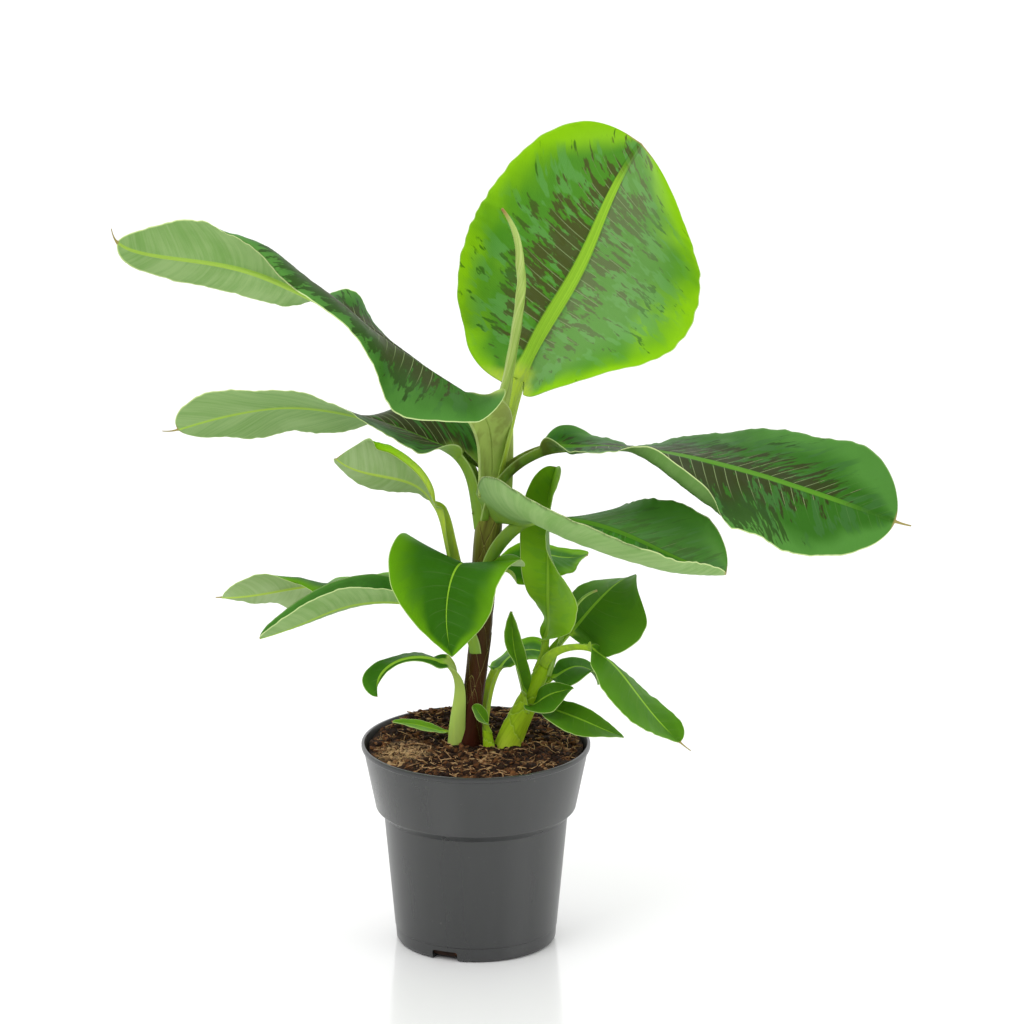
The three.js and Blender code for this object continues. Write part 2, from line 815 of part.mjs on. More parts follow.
// Builds every solid once; each is cut clear of those before it that it would touch
function build() {
  const parts = [];
  const add = (name, finish, make) => {
    let solid = make(0);
    for (const other of parts) {
      if (!apart(solid, other.grown)) solid = largest(solid.subtract(other.grown));
    }
    solid = largest(solid.simplify(SLIVER));
    parts.push({ name, finish, solid, grown: make(GAP).add(solid) });
  };
  for (const stem of STEMS) add(stem.name, stem.finish, (grow) => stemSolid(stem, grow));
  for (const leaf of LEAVES) add(leaf.name, leaf.finish, (grow) => leafSolid(leaf, grow));
  for (const leaf of ROLLED) add(leaf.name, leaf.finish, (grow) => stemSolid(leaf, grow));
  add('soil', PEAT_BROWN, () => soilSolid());
  parts.push({ name: 'pot', finish: POT_GREY, solid: potSolid() });
  return parts;
}

const plant = new THREE.Group();
for (const { name, finish, solid } of build()) {
  const mesh = new THREE.Mesh(toGeometry(solid), new THREE.MeshStandardMaterial(finish));
  mesh.name = name;
  plant.add(mesh);
}

export default plant;
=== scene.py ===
"""A young potted banana plant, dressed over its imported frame.

Leaves and stems repeat the growth rule of the part's source at a finer step: an axis that grows from its root by
smoothly changing headings, and a section that spreads, folds and curls about it. Sizes in the classes are
millimetres and angles degrees. Meshes are in metres, +Z up, from the centre of the pot's flat underside.
"""
import logging
import math
from dataclasses import dataclass, field
from enum import Enum
from typing import Sequence

import bmesh
import bpy
import numpy as np
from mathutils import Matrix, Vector, noise


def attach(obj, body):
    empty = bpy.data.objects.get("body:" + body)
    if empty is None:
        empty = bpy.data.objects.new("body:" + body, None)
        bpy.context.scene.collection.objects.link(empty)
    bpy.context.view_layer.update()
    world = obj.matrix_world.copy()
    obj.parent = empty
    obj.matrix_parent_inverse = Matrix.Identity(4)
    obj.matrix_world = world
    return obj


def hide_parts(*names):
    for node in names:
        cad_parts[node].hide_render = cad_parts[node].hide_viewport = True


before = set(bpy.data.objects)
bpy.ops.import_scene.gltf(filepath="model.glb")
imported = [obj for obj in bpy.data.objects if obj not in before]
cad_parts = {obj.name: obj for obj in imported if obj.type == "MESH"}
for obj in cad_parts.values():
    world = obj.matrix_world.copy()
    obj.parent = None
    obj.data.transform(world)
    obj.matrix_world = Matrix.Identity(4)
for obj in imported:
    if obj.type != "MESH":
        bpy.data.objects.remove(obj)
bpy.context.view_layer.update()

LOG = logging.getLogger("banana_plant")
MM = 0.001
BODY = "root"
SPINE_STEPS = 600
Colour = tuple[float, float, float]
Point = tuple[float, float, float]
Pair = tuple[float, float]
Stations = tuple[float, ...]
HalfSection = dict[str, np.ndarray]
Socket = bpy.types.NodeSocket


def smoothstep(x: np.ndarray, low: float, high: float) -> np.ndarray:
    """Ease x from 0 at low to 1 at high.

    Args:
        x: Values to ease.
        low: Value that gives 0.
        high: Value that gives 1.

    Returns:
        The eased values.
    """
    f = np.clip((x - low) / (high - low), 0.0, 1.0)
    return f * f * (3.0 - 2.0 * f)


def lerp(a: np.ndarray | float, b: np.ndarray | float, share: np.ndarray | float) -> np.ndarray:
    """Blend from a to b by share."""
    return a + (b - a) * share


def along(stations: Sequence[float], t: np.ndarray) -> np.ndarray:
    """Read a smooth curve through evenly spaced stations.

    Args:
        stations: Values at even places from 0 to 1.
        t: Places to read, 0 to 1.

    Returns:
        One value for each place.
    """
    values = np.asarray(stations, float)
    t = np.asarray(t, float)
    last = len(values) - 1
    if last == 0:
        return np.full_like(t, values[0])
    first, end = 2 * values[0] - values[1], 2 * values[-1] - values[-2]
    padded = np.concatenate([[first], values, [end]])
    x = np.clip(t, 0, 1) * last
    i = np.minimum(x.astype(int), last - 1)
    f = x - i
    p0, p1, p2, p3 = (padded[i + k] for k in range(4))
    square = (2 * p0 - 5 * p1 + 4 * p2 - p3) * f**2
    cube = (3 * p1 - p0 - 3 * p2 + p3) * f**3
    return (2 * p1 + (p2 - p0) * f + square + cube) / 2


def ripple(x: np.ndarray, lengths: Sequence[float], seed: int) -> np.ndarray:
    """Give a seeded smooth ripple, a mean of sines.

    Args:
        x: Places in millimetres.
        lengths: Wavelengths in millimetres.
        seed: Picks the phases.

    Returns:
        Heights from about -1 to 1.
    """
    phases = np.random.default_rng(seed).uniform(0, 2 * np.pi, len(lengths))
    return sum(np.sin(2 * np.pi * x / length + phase) for length, phase in zip(lengths, phases)) / len(lengths)


class LeafFamily(Enum):
    """Leaf kinds, each valued by the name of a record slot."""

    GREEN = "green_leaf"
    DARK = "dark_leaf"
    YOUNG = "young_leaf"


class Detail(Enum):
    """Mesh fineness: sections in the stalk, sections in the blade, steps from midrib to margin."""

    LARGE = (36, 150, 24)
    MEDIUM = (30, 96, 15)
    SMALL = (16, 60, 10)


class Crumb(Enum):
    """Kinds of loose soil matter."""

    CLOD = "clods"
    CHIP = "chips"
    FIBRE = "fibres"


class Shader:
    """Builds one procedural material node by node."""

    def __init__(self, name: str) -> None:
        """Start an empty material.

        Args:
            name: The material's name.
        """
        self.material = bpy.data.materials.new(name)
        self.material.use_nodes = True
        self.tree = self.material.node_tree
        self.tree.nodes.clear()
        self.output = self.tree.nodes.new("ShaderNodeOutputMaterial")
        self.surface = self.tree.nodes.new("ShaderNodeBsdfPrincipled")
        self.tree.links.new(self.surface.outputs[0], self.output.inputs[0])

    def put(self, socket: Socket, value: object) -> None:
        """Link a socket's source, or set its constant.

        Args:
            socket: The input socket.
            value: The source socket, number or colour.
        """
        if isinstance(value, Socket):
            self.tree.links.new(value, socket)
        elif isinstance(value, tuple) and len(value) == 3 and socket.type == "RGBA":
            socket.default_value = (*value, 1.0)
        else:
            socket.default_value = value

    def math(self, operation: str, first: object, second: object = 0.0, clamp: bool = False) -> Socket:
        """Add a maths node.

        Args:
            operation: Blender's name of the operation.
            first: First value or socket.
            second: Second value or socket.
            clamp: Whether the result is held within 0 to 1.

        Returns:
            The result's socket.
        """
        node = self.tree.nodes.new("ShaderNodeMath")
        node.operation, node.use_clamp = operation, clamp
        self.put(node.inputs[0], first)
        self.put(node.inputs[1], second)
        return node.outputs[0]

    def add(self, first: object, second: object) -> Socket:
        """Add two values."""
        return self.math("ADD", first, second)

    def times(self, first: object, second: object) -> Socket:
        """Multiply two values."""
        return self.math("MULTIPLY", first, second)

    def ease(self, value: object, low: float, high: float, out: Pair = (0.0, 1.0)) -> Socket:
        """Map a range smoothly onto another.

        Args:
            value: Value or socket to map.
            low: Value that gives the first of out.
            high: Value that gives the second of out.
            out: The results at the two ends.

        Returns:
            The result's socket.
        """
        node = self.tree.nodes.new("ShaderNodeMapRange")
        node.interpolation_type = "SMOOTHSTEP"
        for index, number in enumerate((value, low, high, *out)):
            self.put(node.inputs[index], number)
        return node.outputs[0]

    def mix(self, share: object, first: object, second: object) -> Socket:
        """Blend two colours.

        Args:
            share: Share of the second colour.
            first: First colour or socket.
            second: Second colour or socket.

        Returns:
            The colour's socket.
        """
        node = self.tree.nodes.new("ShaderNodeMix")
        node.data_type = "RGBA"
        self.put(node.inputs[0], share)
        self.put(node.inputs[6], first)
        self.put(node.inputs[7], second)
        return node.outputs[2]

    def noise(self, place: object, scale: float, detail: float = 2.0, roughness: float = 0.5) -> Socket:
        """Add a noise texture.

        Args:
            place: Socket of the coordinates.
            scale: Features for each unit of length.
            detail: Octaves.
            roughness: Strength of each octave against the last.

        Returns:
            The noise's value socket.
        """
        node = self.tree.nodes.new("ShaderNodeTexNoise")
        for name, value in (("Vector", place), ("Scale", scale), ("Detail", detail), ("Roughness", roughness)):
            self.put(node.inputs[name], value)
        return node.outputs[0]

    def place(self, stretch: Point = (1.0, 1.0, 1.0)) -> Socket:
        """Give object coordinates.

        Args:
            stretch: Factors along the axes.

        Returns:
            The coordinates' socket.
        """
        source = self.tree.nodes.new("ShaderNodeTexCoord")
        mapping = self.tree.nodes.new("ShaderNodeMapping")
        self.put(mapping.inputs[0], source.outputs["Object"])
        mapping.inputs["Scale"].default_value = stretch
        return mapping.outputs[0]

    def distance(self, point: Point) -> Socket:
        """Give the distance from a point.

        Args:
            point: The point in object coordinates, in metres.

        Returns:
            The distance's socket.
        """
        node = self.tree.nodes.new("ShaderNodeVectorMath")
        node.operation = "DISTANCE"
        self.put(node.inputs[0], self.place())
        node.inputs[1].default_value = point
        return node.outputs["Value"]

    def combine(self, x: object, y: object = 0.0, z: object = 0.0) -> Socket:
        """Join three numbers into a vector.

        Args:
            x: First number or socket.
            y: Second number or socket.
            z: Third number or socket.

        Returns:
            The vector's socket.
        """
        node = self.tree.nodes.new("ShaderNodeCombineXYZ")
        for socket, value in zip(node.inputs, (x, y, z)):
            self.put(socket, value)
        return node.outputs[0]

    def attribute(self, name: str) -> tuple[Socket, ...]:
        """Read a vector attribute of the mesh.

        Args:
            name: The attribute's name.

        Returns:
            The sockets of its three numbers.
        """
        source = self.tree.nodes.new("ShaderNodeAttribute")
        source.attribute_name = name
        split = self.tree.nodes.new("ShaderNodeSeparateXYZ")
        self.put(split.inputs[0], source.outputs["Vector"])
        return tuple(split.outputs)

    def ramp(self, value: object, stops: Sequence[tuple[float, Colour]]) -> Socket:
        """Add a colour ramp.

        Args:
            value: Socket that picks the colour.
            stops: Place and colour of each stop.

        Returns:
            The colour's socket.
        """
        node = self.tree.nodes.new("ShaderNodeValToRGB")
        elements = node.color_ramp.elements
        while len(elements) < len(stops):
            elements.new(0.5)
        for element, (position, colour) in zip(elements, stops):
            element.position, element.color = position, (*colour, 1.0)
        self.put(node.inputs[0], value)
        return node.outputs[0]

    def bump(self, height: object, distance: float, strength: float = 1.0) -> None:
        """Give the surface a relief.

        Args:
            height: Socket of the height, 0 to 1.
            distance: Height in millimetres that 1 stands for.
            strength: Share of the relief that is used.
        """
        node = self.tree.nodes.new("ShaderNodeBump")
        node.inputs["Distance"].default_value = distance * MM
        node.inputs["Strength"].default_value = strength
        self.put(node.inputs["Height"], height)
        self.put(self.surface.inputs["Normal"], node.outputs[0])

    def finish(self, colour: object, roughness: object, specular: float) -> bpy.types.Material:
        """Set the surface and hand the material over.

        Args:
            colour: Base colour or its socket.
            roughness: Roughness or its socket.
            specular: Specular level.

        Returns:
            The finished material.
        """
        self.put(self.surface.inputs["Base Color"], colour)
        self.put(self.surface.inputs["Roughness"], roughness)
        self.surface.inputs["Specular IOR Level"].default_value = specular
        return self.material


@dataclass(frozen=True)
class LeafFinish:
    """Colours of one kind of leaf, upper face, underside and stalk.

    The patterns are noise stretched along the side veins. Lengths are millimetres on the leaf: streaks and blotches
    have a length across the blade and a pitch from vein to vein.

    Attributes:
        deep, bright: Ground of the upper face near the midrib, for tone 0 and 1.
        rim_deep, rim_bright: Ground towards the margin, for tone 0 and 1.
        patch: Paler green patches between the veins.
        blotch, shaded: Dark blotches near the midrib and further out.
        under, under_shade, under_green, under_rib: Underside, its darker bands, its greener kind and its midrib.
        margin, margin_width: The pale line along the margin.
        pale_vein, waxy: The pale side veins, and the pale colour of a painted sheen that stands in for light
            reflected off the blade.
        pale_sheath, browned: The stalk's pale sheath and its brown patches.
        dried, dry_from: The dried tip, and the place on the blade where it begins.
    """

    name: str
    deep: Colour
    bright: Colour
    rim_deep: Colour
    rim_bright: Colour
    patch: Colour
    blotch: Colour
    midrib: Colour
    under: Colour
    under_shade: Colour
    margin: Colour
    stalk: Colour
    shaded: Colour
    under_rib: Colour
    margin_width: float = 0.55
    dried: Colour = (0.36, 0.30, 0.10)
    pale_sheath: Colour = (0.500, 0.640, 0.160)
    browned: Colour = (0.105, 0.060, 0.012)
    pale_vein: Colour = (0.300, 0.400, 0.170)
    sheen_colour: Colour = (0.330, 0.490, 0.240)
    under_green: Colour = (0.085, 0.200, 0.035)
    gloss: float = 0.045
    patch_length: float = 24.0
    patch_pitch: float = 9.0
    blotch_length: float = 15.0
    blotch_pitch: float = 4.6
    pale_vein_pitch: float = 8.5
    fine_vein_pitch: float = 1.15
    dry_from: float = 0.992

    def upper(self) -> bpy.types.Material:
        """Make the upper face: streaked blotches between the veins, a bright midrib and a pale margin line.

        Returns:
            The material.
        """
        shader = Shader(f"{self.name}_upper")
        across, vein, edge = shader.attribute("leaf_place")
        _, t, stalk = shader.attribute("leaf_share")
        seed, pale_stalk, brown_stalk = shader.attribute("leaf_seed")
        tint, margin_shown, _ = shader.attribute("leaf_tint")
        wide = shader.noise(shader.combine(across, vein, seed), 0.022, 2.0)
        colour = self.blotched(shader, self.ground(shader, wide), wide)
        colour = self.ribbed(shader, colour)
        colour = shader.mix(tint, colour, self.stalk_colour(shader, pale_stalk, brown_stalk))
        colour = shader.mix(shader.times(self.rim(shader, edge, stalk), margin_shown), colour, self.margin)
        colour = shader.mix(shader.ease(t, self.dry_from, 1.0), colour, self.dried)
        relief = shader.add(shader.times(self.fine_veins(shader, vein), 0.25), shader.times(wide, 1.5))
        shader.bump(relief, 0.10, 0.6)
        rough = shader.ease(shader.noise(shader.place(), 90.0, 3.0), 0.3, 0.7, (0.42, 0.56))
        return shader.finish(colour, rough, self.gloss)

    def ground(self, shader: Shader, wide: Socket) -> Socket:
        """Give the upper face's ground: deep within, brighter towards margin and tip, with paler patches.

        Args:
            shader: The material in the making.
            wide: Socket of the broad noise.

        Returns:
            The colour's socket.
        """
        across, vein, _ = shader.attribute("leaf_place")
        reach, t, _ = shader.attribute("leaf_share")
        _, blotchy, tone = shader.attribute("leaf_looks")
        seed = shader.attribute("leaf_seed")[0]
        inner = shader.mix(tone, self.deep, self.bright)
        outer = shader.mix(tone, self.rim_deep, self.rim_bright)
        outward = shader.add(reach, shader.ease(t, 0.78, 1.0, (0.0, 0.5)))
        band = shader.ease(shader.add(outward, shader.times(shader.math("SUBTRACT", wide, 0.5), 0.9)), 0.52, 1.0)
        streaks = shader.combine(shader.math("DIVIDE", across, self.patch_length),
                                 shader.math("DIVIDE", vein, self.patch_pitch), seed)
        patch = shader.ease(shader.noise(streaks, 1.0, 2.5, 0.6), 0.50, 0.56)
        patches = shader.times(patch, shader.ease(outward, 0.62, 1.0, (0.85, 0.0)))
        patches = shader.times(patches, shader.ease(blotchy, 0.0, 1.0, (0.25, 1.0)))
        return shader.mix(patches, shader.mix(band, inner, outer), shader.mix(tone, self.deep, self.patch))

    def blotched(self, shader: Shader, colour: Socket, wide: Socket) -> Socket:
        """Lay the dark blotches, the pale veins that cross them and a painted sheen over the ground.

        Args:
            shader: The material in the making.
            colour: Socket of the ground.
            wide: Socket of the broad noise.

        Returns:
            The colour's socket.
        """
        across, vein, _ = shader.attribute("leaf_place")
        reach = shader.attribute("leaf_share")[0]
        blotchy = shader.attribute("leaf_looks")[1]
        seed = shader.attribute("leaf_seed")[0]
        cover, painted_sheen, _ = shader.attribute("leaf_cover")
        wobble = shader.math("SUBTRACT", wide, 0.5)
        streaks = shader.combine(shader.math("DIVIDE", across, self.blotch_length),
                                 shader.math("DIVIDE", vein, self.blotch_pitch), shader.add(seed, 7.3))
        spots = shader.add(shader.add(shader.noise(streaks, 1.0, 3.0, 0.60), cover), shader.times(wobble, 0.3))
        blotches = shader.math("MULTIPLY", shader.ease(spots, 0.485, 0.55), blotchy, clamp=True)
        dark = shader.mix(shader.ease(shader.add(reach, wobble), 0.35, 0.75), self.blotch, self.shaded)
        colour = shader.mix(shader.times(blotches, 0.88), colour, dark)
        pale = shader.math("FRACT", shader.math("DIVIDE", vein, self.pale_vein_pitch))
        lines = shader.times(shader.ease(pale, 0.0, 0.11, (1.0, 0.0)), shader.ease(reach, 0.2, 0.6, (0.8, 0.0)))
        lines = shader.times(lines, shader.ease(blotches, 0.0, 0.8, (0.15, 1.0)))
        colour = shader.mix(lines, colour, self.pale_vein)
        # Painted sheen: a pale colour laid on the blade, strongest near the midrib, standing in for the light that
        # it reflects.
        return shader.mix(shader.times(painted_sheen, shader.ease(reach, 0.45, 0.95, (1.0, 0.0))), colour, self.sheen_colour)

    def ribbed(self, shader: Shader, colour: Socket) -> Socket:
        """Lay the ridged midrib over the upper face, with a line of painted shade along each side of it where the
        groove lies.

        Args:
            shader: The material in the making.
            colour: Socket of the face's colour.

        Returns:
            The colour's socket.
        """
        across = shader.attribute("leaf_place")[0]
        t = shader.attribute("leaf_share")[1]
        seed = shader.attribute("leaf_seed")[0]
        shown = shader.math("DIVIDE", shader.attribute("leaf_looks")[0], shader.attribute("leaf_cover")[2])
        # Painted shade: the deep colour laid in a band along both sides of the midrib, standing in for the shade of
        # the groove.
        colour = shader.mix(shader.ease(shown, 1.0, 1.5, (0.35, 0.0)), colour, self.deep)
        ridges = shader.ease(shader.noise(shader.combine(across, 0.0, seed), 0.9, 2.0), 0.35, 0.65, (0.0, 0.35))
        raised = shader.times(shader.ease(shown, 0.75, 1.08, (1.0, 0.0)), shader.ease(t, 0.80, 0.94, (1.0, 0.1)))
        return shader.mix(raised, colour, shader.mix(ridges, self.midrib, self.bright))

    def fine_veins(self, shader: Shader, vein: Socket) -> Socket:
        """Give the relief of the finest side veins, -1 to 1."""
        return shader.math("SINE", shader.times(vein, 2 * math.pi / self.fine_vein_pitch))

    def rim(self, shader: Shader, edge: Socket, stalk: Socket) -> Socket:
        """Give the share of the pale margin line, which fades along the stalk.

        Args:
            shader: The material in the making.
            edge: Socket of the distance from the margin in millimetres.
            stalk: Socket of the share of the stalk's section.

        Returns:
            The share's socket.
        """
        line = shader.ease(edge, 0.25 * self.margin_width, self.margin_width, (0.9, 0.0))
        return shader.times(line, shader.ease(stalk, 0.0, 1.0, (1.0, 0.45)))

    def stalk_colour(self, shader: Shader, pale: Socket, brown: Socket) -> Socket:
        """Give the stalk's colour, streaked lengthwise and browned where it has dried.

        Args:
            shader: The material in the making.
            pale: Socket of the share of the pale sheath colour.
            brown: Socket of the share of the brown patches.

        Returns:
            The colour's socket.
        """
        streaks = shader.noise(shader.place((1.0, 1.0, 0.16)), 330.0, 3.0, 0.6)
        patches = shader.noise(shader.place((1.0, 1.0, 0.5)), 55.0, 3.0, 0.6)
        colour = shader.mix(shader.ease(streaks, 0.35, 0.7, (0.0, 0.4)), self.stalk, self.under_shade)
        colour = shader.mix(pale, colour, self.pale_sheath)
        return shader.mix(shader.times(shader.ease(patches, 0.42, 0.6), brown), colour, self.browned)

    def underside(self) -> bpy.types.Material:
        """Make the pale underside, with fine cross veins and a yellower midrib.

        Returns:
            The material.
        """
        shader = Shader(f"{self.name}_under")
        across, vein, edge = shader.attribute("leaf_place")
        _, t, stalk = shader.attribute("leaf_share")
        rib = shader.attribute("leaf_looks")[0]
        seed, pale_stalk, brown_stalk = shader.attribute("leaf_seed")
        greened = shader.attribute("leaf_tint")[2]
        wide = shader.noise(shader.combine(across, vein, seed), 0.03, 3.0)
        stretched = shader.combine(shader.times(across, 0.02), shader.times(vein, 0.28), seed)
        bands = shader.noise(stretched, 1.0, 4.0, 0.65)
        share = shader.add(shader.times(wide, 0.5), shader.times(bands, 0.5))
        colour = shader.mix(shader.ease(share, 0.34, 0.66), self.under_shade, self.under)
        colour = shader.mix(greened, colour, self.under_green)
        colour = shader.mix(shader.ease(rib, 0.6, 1.2, (0.9, 0.0)), colour, self.under_rib)
        colour = shader.mix(stalk, colour, self.stalk_colour(shader, pale_stalk, brown_stalk))
        colour = shader.mix(self.rim(shader, edge, stalk), colour, self.margin)
        colour = shader.mix(shader.ease(t, self.dry_from, 1.0), colour, self.dried)
        shader.bump(shader.add(shader.times(self.fine_veins(shader, vein), 0.35), bands), 0.10, 0.7)
        return shader.finish(colour, shader.ease(bands, 0.3, 0.7, (0.50, 0.62)), self.gloss)


LEAF_FINISHES = {
    LeafFamily.GREEN: LeafFinish(
        name="green_leaf", deep=(0.020, 0.086, 0.004), bright=(0.070, 0.270, 0.010),
        rim_deep=(0.062, 0.220, 0.006), rim_bright=(0.260, 0.580, 0.005), patch=(0.110, 0.340, 0.060),
        blotch=(0.062, 0.036, 0.010), midrib=(0.330, 0.600, 0.040), under=(0.370, 0.510, 0.230),
        under_shade=(0.255, 0.410, 0.130), margin=(0.500, 0.660, 0.230), stalk=(0.470, 0.650, 0.055),
        shaded=(0.034, 0.130, 0.005), under_rib=(0.420, 0.600, 0.080)),
    LeafFamily.DARK: LeafFinish(
        name="dark_leaf", deep=(0.024, 0.098, 0.009), bright=(0.055, 0.230, 0.016),
        rim_deep=(0.070, 0.210, 0.038), rim_bright=(0.100, 0.310, 0.035), patch=(0.095, 0.260, 0.080),
        blotch=(0.034, 0.025, 0.010), midrib=(0.100, 0.270, 0.020), under=(0.330, 0.500, 0.190),
        under_shade=(0.210, 0.385, 0.105), margin=(0.660, 0.800, 0.350), stalk=(0.250, 0.410, 0.045),
        shaded=(0.022, 0.055, 0.008), under_rib=(0.380, 0.590, 0.080), margin_width=1.2),
    LeafFamily.YOUNG: LeafFinish(
        name="young_leaf", deep=(0.034, 0.140, 0.008), bright=(0.200, 0.440, 0.012),
        rim_deep=(0.048, 0.185, 0.010), rim_bright=(0.230, 0.480, 0.016), patch=(0.080, 0.280, 0.030),
        blotch=(0.045, 0.050, 0.014), midrib=(0.280, 0.520, 0.040), under=(0.250, 0.420, 0.120),
        under_shade=(0.160, 0.330, 0.065), margin=(0.460, 0.640, 0.200), stalk=(0.370, 0.590, 0.030),
        shaded=(0.040, 0.100, 0.008), under_rib=(0.380, 0.580, 0.080)),
}


def make_object(name: str, points: np.ndarray, faces: list[list[int]], materials: Sequence[bpy.types.Material],
                material_index: Sequence[int] | None = None,
                attributes: dict[str, np.ndarray] | None = None) -> bpy.types.Object:
    """Make a smooth-shaded object from points in millimetres.

    Args:
        name: The object's name.
        points: Corner points, one row each.
        faces: Rows of corner numbers.
        materials: The materials, in slot order.
        material_index: Slot of each face.
        attributes: Vector attributes on the corners, by name.

    Returns:
        The object, linked to the scene.
    """
    mesh = bpy.data.meshes.new(name)
    mesh.from_pydata((points * MM).tolist(), [], faces)
    for material in materials:
        mesh.materials.append(material)
    if material_index is not None:
        mesh.polygons.foreach_set("material_index", np.asarray(material_index, dtype=np.int32))
    for title, values in (attributes or {}).items():
        layer = mesh.attributes.new(title, "FLOAT_VECTOR", "POINT")
        layer.data.foreach_set("vector", np.asarray(values, dtype=np.float32).ravel())
    mesh.shade_smooth()
    mesh.update()
    piece = bpy.data.objects.new(name, mesh)
    bpy.context.scene.collection.objects.link(piece)
    return piece


def seat(piece: bpy.types.Object, slot: str, *nodes: str) -> None:
    """Let a piece ride with the plant and stand for its nodes.

    Args:
        piece: The piece.
        slot: The record's slot; not used.
        *nodes: Nodes that the piece stands for.
    """
    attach(piece, BODY)
    if nodes:
        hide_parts(*nodes)


def ring_quads(rings: int, count: int) -> np.ndarray:
    """Give the quads between closed rings of equal point count.

    Args:
        rings: Number of rings.
        count: Points in a ring.

    Returns:
        Rows of four point numbers, ring by ring.
    """
    k, i = np.meshgrid(np.arange(rings - 1), np.arange(count), indexing="ij")
    a, b = k * count + i, k * count + (i + 1) % count
    return np.stack([a, b, b + count, a + count], axis=-1).reshape(-1, 4)


def loft_faces(rings: int, count: int) -> list[list[int]]:
    """Give the faces between closed rings of equal point count, and fans over both ends.

    Args:
        rings: Number of rings.
        count: Points in a ring. The two end centres follow the rings.

    Returns:
        Faces whose outside is to the left of a ring that runs round its axis.
    """
    walls = ring_quads(rings, count).tolist()
    centre, top = rings * count, (rings - 1) * count
    for j in range(count):
        walls.append([centre, (j + 1) % count, j])
        walls.append([centre + 1, top + j, top + (j + 1) % count])
    return walls


@dataclass
class GrowthAxis:
    """An axis that grows from its root by headings read at even stations.

    Attributes:
        root: Where it starts.
        length: Its length along its course.
        azimuth, pitch, roll: Headings round +Z, above level and about the axis itself.
    """

    root: Point
    length: float
    azimuth: Stations
    pitch: Stations
    roll: Stations = (0,)

    def directions(self, s: np.ndarray) -> tuple[np.ndarray, np.ndarray, np.ndarray]:
        """Give the directions at places on the axis.

        Args:
            s: Places, 0 at the root to 1 at the end.

        Returns:
            Forward, to the left, and out of the upper face.
        """
        a, p, r = (np.radians(along(v, s)) for v in (self.azimuth, self.pitch, self.roll))
        forward = np.stack([np.cos(p) * np.cos(a), np.cos(p) * np.sin(a), np.sin(p)], axis=-1)
        level = np.stack([-np.sin(a), np.cos(a), np.zeros_like(a)], axis=-1)
        up = np.cross(forward, level)
        cos, sin = np.cos(r)[:, None], np.sin(r)[:, None]
        return forward, level * cos + up * sin, up * cos - level * sin

    def points(self, s: np.ndarray) -> np.ndarray:
        """Give the points that the axis passes.

        Args:
            s: Places, 0 at the root to 1 at the end.

        Returns:
            A row for each place.
        """
        middles = (np.arange(SPINE_STEPS) + 0.5) / SPINE_STEPS
        steps = self.directions(middles)[0] * (self.length / SPINE_STEPS)
        knots = np.vstack([[self.root], np.asarray(self.root) + np.cumsum(steps, axis=0)])
        places = np.linspace(0, 1, SPINE_STEPS + 1)
        return np.stack([np.interp(s, places, knots[:, k]) for k in range(3)], axis=-1)


@dataclass(frozen=True)
class TurnedMargin:
    """A stretch of margin that is turned up or rolled under: its side, its reach along and across, and its turn."""

    side: int
    start: float
    end: float
    inner: float
    turn: float
    ease: float = 0.12

    def bend(self, t: np.ndarray, u: np.ndarray) -> np.ndarray:
        """Give the degrees that it adds to the section's direction.

        Args:
            t: Places along the blade.
            u: Places across, 0 at the midrib and 1 at the margin.

        Returns:
            The added degrees.
        """
        begun = smoothstep(t, self.start, self.start + self.ease)
        over = smoothstep(t, self.end - self.ease, self.end)
        return self.turn * begun * (1 - over) * smoothstep(u, self.inner, lerp(self.inner, 1.0, 0.75))


